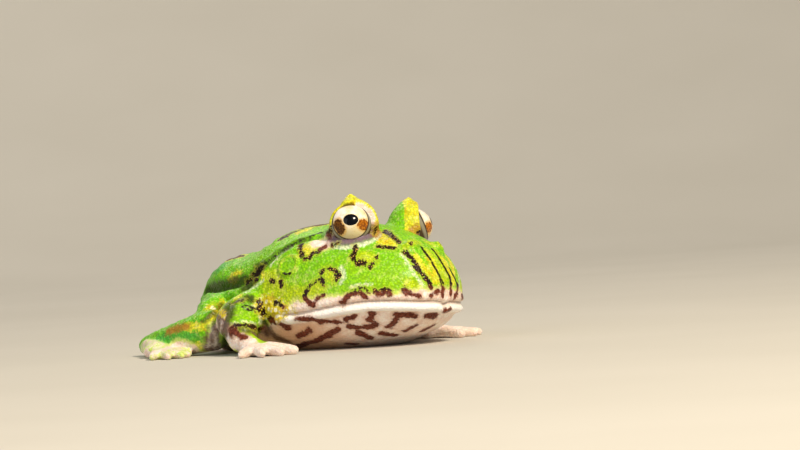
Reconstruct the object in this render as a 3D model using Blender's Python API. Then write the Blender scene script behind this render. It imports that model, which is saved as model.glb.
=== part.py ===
"""A young Argentine horned frog, life size, resting on its belly with its hands spread in front.

The trunk and head are lofted as one smooth body, and the limbs are tubes that grow out of it. Thin
cuts then part them into the parts that a person would name. Forward is -Y, the frog's left is +X and
up is +Z. The origin is the middle of the belly's flat. Sizes are in millimetres, and MM turns them
into metres.
"""

import math

import bmesh
import bpy
from mathutils import Matrix, Vector

MM = 0.001
GAP = 0.3

# The wide mouth: half its width, its length from corner to lip and where its corners lie
JAW_HALF_WIDTH = 15.2
JAW_LENGTH = 23.7
JAW_SQUARENESS = 2.2
JAW_CORNER_FORWARD = 10.0

# The line of the mouth as forward and height: it rises along the cheek and sinks again at the front
MOUTH_LINE = (
    (10.0, 5.2),
    (14.4, 5.2),
    (19.0, 5.6),
    (22.0, 5.85),
    (26.3, 6.05),
    (28.8, 5.9),
    (31.0, 5.7),
    (32.6, 5.5),
    (37.0, 5.4),
)
MOUTH_POINT_DEPTH = 0.5
MOUTH_POINT_FORWARD = 31.0
SEAM_LEFTS = (-20.0, -12.0, -6.0, -2.0, -1.0, 0.0, 1.0, 2.0, 6.0, 12.0, 20.0)
SEAM_FOOT = -5.0

# Lips: their roundness, how far they sink into the face, and where they lie above and below the line
LIP_RADIUS = 1.0
LIP_SINK = 0.8
LIP_STEPS = 24
UPPER_LIP_LIFT = 0.75
LOWER_LIP_DROP = 0.85
LOWER_LIP_SHRINK = 0.975

# The head is cocked, right side up, about a level axis that points forward and to the left
HEAD_TILT_DEG = 6.5
HEAD_TILT_AXIS_DEG = 40.0
TILT_STARTS_FORWARD = -6.0
TILT_ENDS_FORWARD = 9.0
NECK_CUT_FORWARD = 5.4

# Stations of the trunk and head: forward, half width, top, widest height, underside, top and low squareness
STATIONS = (
    (-19.9, 0.4, 8.0, 7.2, 6.4, 2.0, 2.0),
    (-19.3, 3.4, 10.8, 7.0, 3.4, 2.0, 2.0),
    (-17.6, 6.2, 13.6, 6.8, 0.8, 2.0, 2.1),
    (-14.0, 9.2, 16.0, 6.6, -0.5, 2.1, 2.3),
    (-10.0, 11.4, 16.9, 6.4, -0.8, 2.2, 2.5),
    (-5.0, 13.0, 17.4, 6.4, -0.9, 2.2, 2.6),
    (0.0, 14.1, 19.4, 6.6, -0.9, 2.3, 2.6),
    (5.0, 15.0, 21.2, 7.0, -0.9, 2.4, 2.6),
    (10.0, 15.4, 21.6, 7.4, -0.9, 2.3, 2.6),
    (16.0, 15.0, 21.0, 7.6, -0.8, 2.2, 2.4),
    (20.5, 14.1, 20.3, 7.8, -0.5, 2.1, 2.2),
    (25.0, 12.5, 18.7, 7.8, 0.3, 2.0, 2.0),
    (28.0, 10.8, 17.2, 7.8, 1.0, 2.0, 2.0),
    (30.0, 9.2, 15.9, 7.8, 1.8, 2.0, 2.0),
    (31.8, 7.2, 14.0, 7.9, 2.9, 2.0, 2.0),
    (32.7, 5.6, 12.7, 8.0, 3.9, 2.0, 2.0),
    (33.4, 3.9, 11.5, 8.1, 4.9, 2.0, 2.0),
    (33.8, 2.3, 10.3, 8.2, 6.2, 2.0, 2.0),
    (34.0, 0.4, 8.7, 8.3, 7.9, 2.0, 2.0),
)
STATION_STEPS = 4
RING_SIDES = 56

# Eyes, the mounds round them and the soft horn on each upper lid
EYE_RADIUS = 3.5
LID_RADIUS = 4.5
LID_FORWARD = 0.35
EYE_FORWARD = 20.5
EYE_SIDE = 8.0
EYE_HEIGHT = 20.0
EYE_LOOK_DEG = 52.0
EYE_LOOK_UP_DEG = 8.0
LID_OPENING_RADIUS = 3.25
LID_OPENING_START = 1.1
LID_OPENING_LENGTH = 6.0
LID_CUT_LEAN_DEG = 32.0
LID_CUT_RADIUS = 5.9
EYE_BASE_RADII = (5.3, 4.9, 4.4)
EYE_BASE_BACK = 0.7
EYE_BASE_DROP = 2.6

# The horn from its foot to its tip: how far inside the eye, how far above it, and its radius
HORN = ((0.8, 2.6, 2.4), (0.4, 4.0, 1.6), (0.1, 5.2, 0.5))

# Nostrils, each a small pit on a small bump
NOSTRIL_FORWARD = 29.7
NOSTRIL_SIDE = 3.5
NOSTRIL_HEIGHT = 15.3
NOSTRIL_BUMP_RADIUS = 1.25
NOSTRIL_PIT_RADIUS = 0.45
NOSTRIL_PIT_DEPTH = 1.1
NOSTRIL_OPENING = (0.75, 0.45, 0.55)

# Joints of the limbs as forward, left, up and radius; the right hand is set further back than the left
RIGHT_ARM = {
    "shoulder": (2.6, -10.5, 8.0, 4.0),
    "elbow": (0.6, -17.0, 6.0, 2.9),
    "wrist": (5.2, -20.2, 2.5, 1.9),
    "palm": (8.0, -20.9, 1.3, 1.7),
}
LEFT_ARM = {
    "shoulder": (3.0, 10.5, 8.0, 4.0),
    "elbow": (5.6, 18.6, 5.4, 2.9),
    "wrist": (12.6, 18.6, 2.3, 1.9),
    "palm": (15.4, 17.6, 1.3, 1.7),
}
LEG = {
    "hip": (-10.0, 7.0, 7.4, 5.2),
    "knee": (-6.0, 16.2, 4.4, 3.7),
    "calf": (-12.8, 16.7, 3.1, 3.0),
    "ankle": (-22.4, 15.4, 1.8, 1.7),
    "sole": (-14.4, 21.4, 1.2, 1.6),
}

# Palms and soles: radii forward, sideways and up of the flat lump that the digits grow from
PALM_RADII = (2.7, 2.7, 1.4)
SOLE_RADII = (3.0, 2.5, 1.35)
PAD_HEIGHT = 1.2

# Digits: heading outward from straight ahead in degrees, length and root radius, the inner one first
FINGERS = ((-8.0, 8.2, 1.25), (16.0, 8.6, 1.1), (40.0, 8.8, 1.05), (66.0, 7.4, 1.05))
TOES = ((-14.0, 6.2, 1.0), (4.0, 7.8, 0.95), (20.0, 9.4, 0.95), (36.0, 9.8, 0.95), (54.0, 8.2, 0.95))

# A digit from root to tip: share of its length, height of its middle and its radius as shares of the root's
DIGIT_PROFILE = ((0.0, 0.9, 1.0), (0.45, 0.95, 0.92), (0.8, 0.72, 0.82), (1.0, 0.6, 0.72))

# How far a cut reaches round a joint, as so many radii of the limb there
JOINT_CUT_WIDTH = 2.3

# How finely each body is skinned and how many triangles it keeps
SKIN_CELL = 0.45
SKIN_SMOOTHING = 5
TRUNK_TRIANGLES = 5200
ARM_TRIANGLES = 1300
LEG_TRIANGLES = 620
FOOT_TRIANGLES = 950
EYE_SEGMENTS = 20
EYE_RINGS = 12

# The angles in radians at which a tube's rounded end is ringed, and the corner that stays sharp in shading
CAP_ANGLES = (0.4, 0.75, 1.1, 1.45)
SHARP_CORNER_DEG = 40.0

REACH = 60.0


def clear_scene():
    """Removes whatever the file holds before the frog is made."""
    for thing in list(bpy.data.objects):
        bpy.data.objects.remove(thing)


def at(forward, left, up):
    """A point of the frog in metres, from millimetres forward, to its left and up."""
    return Vector((left, -forward, up)) * MM


def finish(name, colour, roughness):
    """A Principled finish with one colour."""
    made = bpy.data.materials.new(name)
    made.use_nodes = True
    shader = made.node_tree.nodes["Principled BSDF"]
    shader.inputs["Base Color"].default_value = (*colour, 1.0)
    shader.inputs["Roughness"].default_value = roughness
    shader.inputs["Metallic"].default_value = 0.0
    return made


def object_from(name, form):
    """Turns a bmesh into a linked object with its faces pointing out."""
    bmesh.ops.recalc_face_normals(form, faces=form.faces)
    mesh = bpy.data.meshes.new(name)
    form.to_mesh(mesh)
    form.free()
    made = bpy.data.objects.new(name, mesh)
    bpy.context.scene.collection.objects.link(made)
    return made


def loft(name, rings):
    """A closed skin over rings of points, each ring with the same count, capped at both ends."""
    form = bmesh.new()
    rows = [[form.verts.new(point) for point in ring] for ring in rings]
    sides = len(rows[0])
    for near, far in zip(rows, rows[1:]):
        for i in range(sides):
            j = (i + 1) % sides
            form.faces.new((near[i], near[j], far[j], far[i]))
    form.faces.new(rows[0])
    form.faces.new(rows[-1])
    return object_from(name, form)


def through(a, b, c, d, t):
    """Catmull-Rom: the value at share t of the way from b to c, with a before them and d after."""
    return b + 0.5 * t * (c - a + t * (2 * a - 5 * b + 4 * c - d + t * (3 * b - a - 3 * c + d)))


def between(rows, steps):
    """Passes a smooth curve through rows of numbers, with steps places from each row to the next."""
    last = len(rows) - 1
    made = []
    for k in range(last):
        four = [rows[min(max(k + d, 0), last)] for d in (-1, 0, 1, 2)]
        for step in range(steps):
            made.append([through(*values, step / steps) for values in zip(*four)])
    made.append(list(rows[last]))
    return made


def swollen(value, power):
    """Keeps the sign of a sine or cosine and bends it towards a squarer outline."""
    return math.copysign(abs(value) ** (2.0 / power), value)


def tilted(point):
    """Cocks a point of the head, with no turn behind the shoulders and the full turn at the jaw."""
    share = (-point.y / MM - TILT_STARTS_FORWARD) / (TILT_ENDS_FORWARD - TILT_STARTS_FORWARD)
    share = min(max(share, 0.0), 1.0)
    share = share * share * (3 - 2 * share)
    heading = math.radians(HEAD_TILT_AXIS_DEG)
    axis = Vector((math.sin(heading), -math.cos(heading), 0))
    pivot = at(JAW_CORNER_FORWARD, 0, 0)
    return pivot + Matrix.Rotation(-math.radians(HEAD_TILT_DEG) * share, 3, axis) @ (point - pivot)


def trunk_ring(forward, half_width, top, middle, underside, top_power, low_power):
    """One cross-section of the trunk or head: a dome above the widest height and a bowl below it."""
    ring = []
    for i in range(RING_SIDES):
        angle = 2 * math.pi * i / RING_SIDES
        power = top_power if math.sin(angle) >= 0 else low_power
        rise = top - middle if math.sin(angle) >= 0 else middle - underside
        left = half_width * swollen(math.cos(angle), power)
        up = middle + rise * swollen(math.sin(angle), power)
        ring.append(tilted(at(forward, left, up)))
    return ring


def tube(name, joints, steps=5, sides=20, bend=None):
    """A round limb through joints of (forward, left, up, radius), with rounded ends."""
    rows = between(joints, steps)
    centres = [at(*row[:3]) for row in rows]
    count = len(rows)
    side = Vector((0, 0, 1))
    rings = []
    for k, centre in enumerate(centres):
        radius = rows[k][3] * MM
        along = (centres[min(k + 1, count - 1)] - centres[max(k - 1, 0)]).normalized()
        side = (side - along * side.dot(along)).normalized()
        other = along.cross(side)
        stops = [(0.0, 1.0)]
        if k == 0:
            stops = [(-math.sin(a), math.cos(a)) for a in reversed(CAP_ANGLES)] + stops
        if k == count - 1:
            stops = stops + [(math.sin(a), math.cos(a)) for a in CAP_ANGLES]
        for push, size in stops:
            ring = []
            for i in range(sides):
                turn = 2 * math.pi * i / sides
                rim = (side * math.cos(turn) + other * math.sin(turn)) * size
                ring.append(centre + (along * push + rim) * radius)
            rings.append(ring)
    if bend:
        rings = [[bend(point) for point in ring] for ring in rings]
    return loft(name, rings)


def ball(name, centre, radii, segments=28, rings=18, bend=None):
    """A rounded lump at a centre in metres, with radii in millimetres forward, sideways and up."""
    form = bmesh.new()
    bmesh.ops.create_uvsphere(form, u_segments=segments, v_segments=rings, radius=1.0)
    stretch = Matrix.Diagonal((radii[1] * MM, radii[0] * MM, radii[2] * MM, 1))
    bmesh.ops.transform(form, matrix=Matrix.Translation(centre) @ stretch, verts=form.verts)
    if bend:
        for vert in form.verts:
            vert.co = bend(vert.co)
    return object_from(name, form)


def drum(name, centre, axis, radius, length, sides=24):
    """A cylinder of millimetre sizes centred on a point, along an axis."""
    form = bmesh.new()
    bmesh.ops.create_cone(
        form,
        cap_ends=True,
        segments=sides,
        radius1=radius * MM,
        radius2=radius * MM,
        depth=length * MM,
    )
    turn = axis.to_track_quat("Z", "Y").to_matrix().to_4x4()
    bmesh.ops.transform(form, matrix=Matrix.Translation(centre) @ turn, verts=form.verts)
    return object_from(name, form)


def block(name, low, high):
    """A box between two corners given as forward, left and up."""
    form = bmesh.new()
    bmesh.ops.create_cube(form, size=1.0)
    a = at(*low)
    b = at(*high)
    size = Matrix.Diagonal((abs(b.x - a.x), abs(b.y - a.y), abs(b.z - a.z), 1))
    bmesh.ops.transform(form, matrix=Matrix.Translation((a + b) / 2) @ size, verts=form.verts)
    return object_from(name, form)


def settle(thing):
    """Applies a thing's modifiers to its mesh."""
    seen = thing.evaluated_get(bpy.context.evaluated_depsgraph_get())
    mesh = bpy.data.meshes.new_from_object(seen)
    thing.modifiers.clear()
    thing.data = mesh


def carve(body, cutter, operation="DIFFERENCE"):
    """Cuts a body with a cutter, or keeps what lies inside it, and removes the cutter."""
    change = body.modifiers.new("carve", "BOOLEAN")
    change.operation = operation
    change.object = cutter
    settle(body)
    bpy.data.objects.remove(cutter)


def fused(name, pieces, triangles):
    """Skins closed pieces as one smooth body and thins it to a number of triangles."""
    form = bmesh.new()
    for piece in pieces:
        form.from_mesh(piece.data)
        bpy.data.objects.remove(piece)
    body = object_from(name, form)
    skin = body.modifiers.new("skin", "REMESH")
    skin.mode = "VOXEL"
    skin.voxel_size = SKIN_CELL * MM
    soften = body.modifiers.new("soften", "SMOOTH")
    soften.factor = 0.5
    soften.iterations = SKIN_SMOOTHING
    settle(body)
    thin = body.modifiers.new("thin", "DECIMATE")
    thin.ratio = triangles / (2 * len(body.data.polygons))
    thin.use_collapse_triangulate = True
    settle(body)
    carve(body, block("air", (-REACH, -REACH, 0), (REACH, REACH, REACH)), "INTERSECT")
    return body


def islands(form):
    """Groups the faces of a bmesh into its separate closed surfaces."""
    waiting = set(form.faces)
    groups = []
    while waiting:
        group = {waiting.pop()}
        edge_of_group = list(group)
        while edge_of_group:
            face = edge_of_group.pop()
            for edge in face.edges:
                for other in edge.link_faces:
                    if other in waiting:
                        waiting.remove(other)
                        group.add(other)
                        edge_of_group.append(other)
        groups.append(group)
    return groups


def parted(body, seeds, looks):
    """Splits a cut body into named objects, each the largest closed surface nearest to its seed point."""
    form = bmesh.new()
    form.from_mesh(body.data)
    bmesh.ops.triangulate(form, faces=form.faces)
    best = {}
    for group in islands(form):
        area = sum(face.calc_area() for face in group)
        middle = sum((face.calc_center_median() * face.calc_area() for face in group), Vector()) / area
        name = min(seeds, key=lambda key: (seeds[key] - middle).length)
        if area > best.get(name, (0.0, None))[0]:
            best[name] = (area, group)
    for name, (_, group) in best.items():
        piece = bmesh.new()
        twins = {}
        for face in group:
            for vert in face.verts:
                if vert not in twins:
                    twins[vert] = piece.verts.new(vert.co)
        for face in group:
            piece.faces.new([twins[vert] for vert in face.verts])
        made = object_from(name, piece)
        made.data.materials.append(looks[name.split("_left")[0].split("_right")[0]])
        made.data.shade_smooth()
        made.data.set_sharp_from_angle(angle=math.radians(SHARP_CORNER_DEG))
    form.free()
    bpy.data.objects.remove(body)


def eye_centre(side):
    """The middle of an eyeball; side is 1 for the left and -1 for the right."""
    return tilted(at(EYE_FORWARD, side * EYE_SIDE, EYE_HEIGHT))


def eye_look(side):
    """The way an eye looks: forward, out to its side and a little up."""
    heading = math.radians(EYE_LOOK_DEG)
    rise = math.radians(EYE_LOOK_UP_DEG)
    level = math.cos(rise)
    return at(math.cos(heading) * level, side * math.sin(heading) * level, math.sin(rise)).normalized()


def eye_mound(side):
    """The flesh round an eye, with the pointed horn of the upper lid."""
    place = tilted(at(EYE_FORWARD + LID_FORWARD, side * EYE_SIDE, EYE_HEIGHT))
    mound = ball("eye_mound", place, (LID_RADIUS,) * 3)
    low = at(EYE_FORWARD - EYE_BASE_BACK, side * (EYE_SIDE - 0.8), EYE_HEIGHT - EYE_BASE_DROP)
    base = ball("eye_base", low, EYE_BASE_RADII, bend=tilted)
    joints = [(EYE_FORWARD, side * (EYE_SIDE - inside), EYE_HEIGHT + above, radius) for inside, above, radius in HORN]
    horn = tube("horn", joints, steps=4, bend=tilted)
    return [mound, base, horn]


def mouth_height(forward):
    """The height of the line of the mouth at a place forward of the belly's middle."""
    for (near, low), (far, high) in zip(MOUTH_LINE, MOUTH_LINE[1:]):
        if forward <= far:
            return low + (high - low) * max(forward - near, 0.0) / (far - near)
    return MOUTH_LINE[-1][1]


def lip(lift, shrink):
    """A rounded ridge along the line of the mouth, from one corner round the snout to the other."""
    joints = []
    for i in range(LIP_STEPS + 1):
        angle = math.pi * i / LIP_STEPS
        forward = (JAW_LENGTH - LIP_SINK) * swollen(math.sin(angle), JAW_SQUARENESS) * shrink
        left = (JAW_HALF_WIDTH - LIP_SINK) * swollen(math.cos(angle), JAW_SQUARENESS) * shrink
        place = JAW_CORNER_FORWARD + forward
        joints.append((place, left, mouth_height(place) + lift, LIP_RADIUS))
    return tube("lip", joints, steps=2, sides=12, bend=tilted)


def mouth_seam():
    """The thin sheet that parts the jaws, and the curtain behind it that ends the jaw at its corners."""
    rings = []
    for left in SEAM_LEFTS:
        roof = []
        floor = []
        for forward, height in MOUTH_LINE:
            point = MOUTH_POINT_DEPTH if left == 0.0 and forward >= MOUTH_POINT_FORWARD else 0.0
            roof.append((forward, height - point + GAP / 2))
            floor.append((forward, height - point - GAP / 2))
        floor[0] = (floor[0][0] + GAP, floor[0][1])
        outline = roof[::-1] + [(roof[0][0], SEAM_FOOT), (floor[0][0], SEAM_FOOT)] + floor
        rings.append([tilted(at(forward, left, up)) for forward, up in outline])
    return loft("mouth_seam", rings)


def nostril(side):
    """The place of a nostril and the way it opens: forward, up and out."""
    place = tilted(at(NOSTRIL_FORWARD, side * NOSTRIL_SIDE, NOSTRIL_HEIGHT))
    forward, out, up = NOSTRIL_OPENING
    opening = at(forward, side * out, up).normalized()
    return place, opening


def make_trunk():
    """The trunk and head as one body, skinned but not yet parted."""
    pieces = [loft("trunk", [trunk_ring(*row) for row in between(STATIONS, STATION_STEPS)])]
    pieces.append(lip(UPPER_LIP_LIFT, 1.0))
    pieces.append(lip(-LOWER_LIP_DROP, LOWER_LIP_SHRINK))
    for side in (-1, 1):
        pieces += eye_mound(side)
        place, _ = nostril(side)
        pieces.append(ball("nostril_bump", place, (NOSTRIL_BUMP_RADIUS,) * 3))
    return fused("trunk", pieces, TRUNK_TRIANGLES)


def part_trunk(trunk, looks):
    """Opens the eyes, nostrils and mouth and parts the head, jaw, lids and torso."""
    seeds = {
        "head": at(19.0, 0, 14.0),
        "lower_jaw": at(17.0, 0, 2.5),
        "torso": at(-7.0, 0, 8.0),
    }
    for side, word in ((-1, "right"), (1, "left")):
        centre = eye_centre(side)
        look = eye_look(side)
        socket = EYE_RADIUS + GAP
        carve(trunk, ball("socket", centre, (socket,) * 3, EYE_SEGMENTS, EYE_RINGS))
        middle = centre + look * (LID_OPENING_START + LID_OPENING_LENGTH / 2) * MM
        carve(trunk, drum("opening", middle, look, LID_OPENING_RADIUS, LID_OPENING_LENGTH, 28))
        lean = math.radians(LID_CUT_LEAN_DEG)
        upright = at(0, side * math.sin(lean), math.cos(lean))
        carve(trunk, drum("lid_cut", centre, upright, LID_CUT_RADIUS, GAP, 28))
        seeds["eyelid_" + word] = centre + upright * LID_RADIUS * MM
        place, opening = nostril(side)
        rim = place + opening * NOSTRIL_BUMP_RADIUS * MM
        carve(trunk, drum("pit", rim, opening, NOSTRIL_PIT_RADIUS, 2 * NOSTRIL_PIT_DEPTH, 10))
        eye = ball("eye_" + word, centre, (EYE_RADIUS,) * 3, EYE_SEGMENTS, EYE_RINGS)
        eye.data.materials.append(looks["eye"])
        eye.data.shade_smooth()
    half = GAP / 2
    low = (NECK_CUT_FORWARD - half, -REACH, -REACH)
    high = (NECK_CUT_FORWARD + half, REACH, REACH)
    carve(trunk, block("neck_cut", low, high))
    carve(trunk, mouth_seam())
    parted(trunk, seeds, looks)


def digit(name, root, heading_deg, side, length, radius):
    """A tapered finger or toe that lies on the floor, arched a little, from a root point."""
    heading = math.radians(heading_deg)
    rows = []
    for share, lift, size in DIGIT_PROFILE:
        forward = root[0] + share * length * math.cos(heading)
        left = root[1] + side * share * length * math.sin(heading)
        rows.append((forward, left, radius * lift, radius * size))
    return tube(name, rows, steps=3, sides=14)


def joint_cut(body, near, here, far):
    """Cuts a limb at a joint, across the bend that it makes there."""
    centre = at(*here[:3])
    along = (centre - at(*near[:3])).normalized() + (at(*far[:3]) - centre).normalized()
    carve(body, drum("joint_cut", centre, along.normalized(), here[3] * JOINT_CUT_WIDTH, GAP, 24))


def midway(a, b, share=0.5):
    """A joint between two joints of a limb."""
    return tuple(p + (q - p) * share for p, q in zip(a, b))


def make_arm(side, joints, trunk, looks):
    """One arm, from its root in the shoulder to the fingertips, parted at elbow and wrist."""
    shoulder, elbow, wrist, palm = (joints[key] for key in ("shoulder", "elbow", "wrist", "palm"))
    pieces = [
        tube("arm", (shoulder, midway(shoulder, elbow), elbow)),
        tube("arm", (elbow, midway(elbow, wrist), wrist, palm)),
        ball("palm", at(palm[0], palm[1], PAD_HEIGHT), PALM_RADII),
    ]
    for heading, length, radius in FINGERS:
        pieces.append(digit("finger", palm, heading, side, length, radius))
    body = fused("arm", pieces, ARM_TRIANGLES)
    carve(body, swollen_copy(trunk))
    joint_cut(body, shoulder, elbow, wrist)
    joint_cut(body, elbow, wrist, palm)
    word = "left" if side > 0 else "right"
    seeds = {
        "upper_arm_" + word: at(*midway(shoulder, elbow, 0.7)[:3]),
        "forearm_" + word: at(*midway(elbow, wrist)[:3]),
        "hand_" + word: at(*palm[:3]),
    }
    parted(body, seeds, looks)


def make_leg(side, trunk, looks):
    """One hind leg, folded at the side of the body with its foot pointing forward."""
    joints = {key: (f, side * left, up, radius) for key, (f, left, up, radius) in LEG.items()}
    hip, knee, calf, ankle, sole = (joints[key] for key in ("hip", "knee", "calf", "ankle", "sole"))
    thigh = tube("leg", (hip, midway(hip, knee), knee))
    shank = tube("leg", (knee, calf, ankle))
    leg = fused("leg", [thigh, shank], LEG_TRIANGLES)
    carve(leg, swollen_copy(trunk))
    pieces = [
        tube("foot", (ankle, midway(ankle, sole), sole)),
        ball("sole", at(sole[0], sole[1], PAD_HEIGHT), SOLE_RADII),
    ]
    for heading, length, radius in TOES:
        pieces.append(digit("toe", sole, heading, side, length, radius))
    foot = fused("foot", pieces, FOOT_TRIANGLES)
    carve(foot, swollen_copy(leg))
    joint_cut(leg, hip, knee, calf)
    word = "left" if side > 0 else "right"
    seeds = {"thigh_" + word: at(*midway(hip, knee, 0.7)[:3]), "shank_" + word: at(*calf[:3])}
    parted(leg, seeds, looks)
    parted(foot, {"foot_" + word: at(*sole[:3])}, looks)


def swollen_copy(body):
    """A copy of a body that stands proud of it by a gap, for cutting what grows out of it."""
    copy = bpy.data.objects.new("swollen", body.data.copy())
    bpy.context.scene.collection.objects.link(copy)
    grow = copy.modifiers.new("grow", "DISPLACE")
    grow.strength = GAP * MM
    grow.mid_level = 0.0
    settle(copy)
    return copy


def main():
    """Builds the whole frog."""
    clear_scene()
    green = finish("green_skin", (0.30, 0.52, 0.06), 0.45)
    cream = finish("cream_skin", (0.72, 0.58, 0.42), 0.5)
    iris = finish("eye_surface", (0.80, 0.66, 0.42), 0.08)
    looks = {"eye": iris, "lower_jaw": cream, "hand": cream}
    for name in ("head", "torso", "eyelid", "upper_arm", "forearm", "thigh", "shank", "foot"):
        looks[name] = green
    trunk = make_trunk()
    make_arm(-1, RIGHT_ARM, trunk, looks)
    make_arm(1, LEFT_ARM, trunk, looks)
    make_leg(-1, trunk, looks)
    make_leg(1, trunk, looks)
    part_trunk(trunk, looks)


main()
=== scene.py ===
# %% [markdown]
# # A young Argentine horned frog
# A horned frog is a round, flat sitter, almost half of it mouth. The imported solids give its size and
# pose. This lesson dresses them: one living skin is drawn over the solids of the flesh, its folds and
# warts are shaped, its markings are laid on, and two wet eyes are set in it. Forward is -Y, the frog's
# left is +X and up is +Z.

# %% Load the frame
import math

import bmesh
import bpy
import numpy as np
from mathutils import Matrix, Vector
from mathutils.bvhtree import BVHTree
from mathutils.kdtree import KDTree


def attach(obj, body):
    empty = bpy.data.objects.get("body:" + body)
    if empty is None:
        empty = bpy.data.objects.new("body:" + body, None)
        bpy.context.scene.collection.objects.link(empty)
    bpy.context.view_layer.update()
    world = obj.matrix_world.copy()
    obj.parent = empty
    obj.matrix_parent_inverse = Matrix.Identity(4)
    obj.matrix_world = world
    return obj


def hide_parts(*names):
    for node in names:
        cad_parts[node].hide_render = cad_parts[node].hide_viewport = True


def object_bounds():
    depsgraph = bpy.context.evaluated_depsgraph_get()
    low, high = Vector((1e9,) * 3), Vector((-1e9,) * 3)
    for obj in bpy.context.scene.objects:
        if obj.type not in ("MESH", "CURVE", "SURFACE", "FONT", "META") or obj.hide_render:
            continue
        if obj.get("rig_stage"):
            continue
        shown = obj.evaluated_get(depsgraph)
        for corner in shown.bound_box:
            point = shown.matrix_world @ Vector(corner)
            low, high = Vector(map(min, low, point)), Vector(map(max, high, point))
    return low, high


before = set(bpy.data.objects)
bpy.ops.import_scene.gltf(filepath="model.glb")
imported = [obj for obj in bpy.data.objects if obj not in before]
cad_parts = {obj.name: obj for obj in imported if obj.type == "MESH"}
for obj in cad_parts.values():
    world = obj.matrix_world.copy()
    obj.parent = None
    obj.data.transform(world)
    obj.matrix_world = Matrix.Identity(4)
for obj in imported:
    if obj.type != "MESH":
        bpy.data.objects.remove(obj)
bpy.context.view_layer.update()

MM = 0.001

# %% [markdown]
# ## Places on the frog
# The frog lies straight, but its head is cocked, right side up, so a mark on one cheek has its twin at
# another height on the other. Both sides could be measured apart, but only one is seen. So the turn of
# the head is written down once: a place is straightened, mirrored and cocked again. The turn is about a
# level axis and fades out behind the shoulders. Every place is given in millimetres as forward, left and
# up.

# %% Places and the cocked head
HEAD_TILT_DEG = 6.5
HEAD_TILT_AXIS_DEG = 40.0
TILT_STARTS = -6.0
TILT_ENDS = 9.0
TILT_PIVOT = 10.0
STRAIGHTENING_STEPS = 4


def at(forward, left, up):
    """A place in metres from millimetres forward, left and up."""
    return Vector((left, -forward, up)) * MM


def tilt_turn(forward):
    """The turn of the head at a place so many millimetres forward."""
    share = min(max((forward - TILT_STARTS) / (TILT_ENDS - TILT_STARTS), 0.0), 1.0)
    share = share * share * (3 - 2 * share)
    heading = math.radians(HEAD_TILT_AXIS_DEG)
    axis = Vector((math.sin(heading), -math.cos(heading), 0))
    return Matrix.Rotation(-math.radians(HEAD_TILT_DEG) * share, 3, axis)


def tilted(place):
    """Where a place of the straight head lies on the cocked one."""
    pivot = at(TILT_PIVOT, 0, 0)
    return pivot + tilt_turn(-place.y / MM) @ (place - pivot)


print("a cheek 15 mm out at the right is raised", round(tilted(at(20, -15, 8)).z / MM - 8, 1), "mm")

# %% Mirroring a place
def straightened(place):
    """Where a place of the cocked head would lie on a straight one."""
    pivot = at(TILT_PIVOT, 0, 0)
    found = place.copy()
    for _ in range(STRAIGHTENING_STEPS):
        found = pivot + tilt_turn(-found.y / MM).transposed() @ (place - pivot)
    return found


def mirrored(place):
    """The twin of a place on the other side of the frog."""
    straight = straightened(place)
    straight.x = -straight.x
    return tilted(straight)


print("the twin of that cheek lies at", [round(v / MM, 1) for v in mirrored(tilted(at(20, -15, 8)))])

# %% [markdown]
# ## The camera
# The frog is seen from its right front, almost level with its eyes, through a long lens, and the picture
# is turned a few degrees. A camera could be moved about until it looks right, but here its heading, rise
# and scale are worked out, because the same lens is later used as a stencil: a marking that is measured
# in the picture is followed along its line of sight until it meets the skin.

# %% The camera
VIEW_DEG = 50.0
VIEW_RISE_DEG = 1.0
VIEW_ROLL_DEG = 3.6
VIEW_DISTANCE = 0.700
PIXELS_PER_MM = 5.7
PICTURE_WIDTH = 800
PICTURE_HEIGHT = 450
SENSOR_WIDTH = 36.0
AIM_ACROSS = 11.3
AIM_UP = 20.6

turn = math.radians(VIEW_DEG)
rise = math.radians(VIEW_RISE_DEG)
aim = at(TILT_PIVOT + AIM_ACROSS * math.sin(turn), AIM_ACROSS * math.cos(turn), AIM_UP)
back = Vector((-math.sin(turn) * math.cos(rise), -math.cos(turn) * math.cos(rise), math.sin(rise)))
upright_view = (-back).to_track_quat("-Z", "Y")
view_turn = upright_view @ Matrix.Rotation(-math.radians(VIEW_ROLL_DEG), 3, "Z").to_quaternion()

bpy.ops.object.camera_add(location=aim + back * VIEW_DISTANCE, rotation=view_turn.to_euler())
camera = bpy.context.object
camera.name = "camera"
camera.data.sensor_width = SENSOR_WIDTH
camera.data.lens = SENSOR_WIDTH * VIEW_DISTANCE / (PICTURE_WIDTH / PIXELS_PER_MM * MM)
camera.data.clip_start = 0.01
bpy.context.scene.camera = camera
print("the lens is", round(camera.data.lens, 1), "mm long")


# %% Lines of sight
def sight(across, down):
    """The direction in which the camera sees a picture place, given in pixels across and down."""
    focal = PIXELS_PER_MM * VIEW_DISTANCE / MM
    ray = Vector(((across - PICTURE_WIDTH / 2) / focal, (PICTURE_HEIGHT / 2 - down) / focal, -1.0))
    return (view_turn @ ray).normalized()


middle_sight = sight(PICTURE_WIDTH / 2, PICTURE_HEIGHT / 2)
print("the picture's middle is seen along", [round(part, 2) for part in middle_sight])

# %% [markdown]
# ## Where the eyes are
# The eyes of a horned frog stand high, look out to the sides and a little forward and up, and bulge from
# soft lids. Lids, horns, eyeballs and the colours round them could each be placed by hand, but they have
# to agree, so all of them are worked out from one middle and three directions for each eye.

# %% Sizes of the eyes
EYE_FORWARD = 20.5
EYE_SIDE = 8.0
EYE_HEIGHT = 20.0
EYE_LOOK_DEG = 52.0
EYE_LOOK_UP_DEG = 8.0
EYE_RADIUS = 3.62


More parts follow.
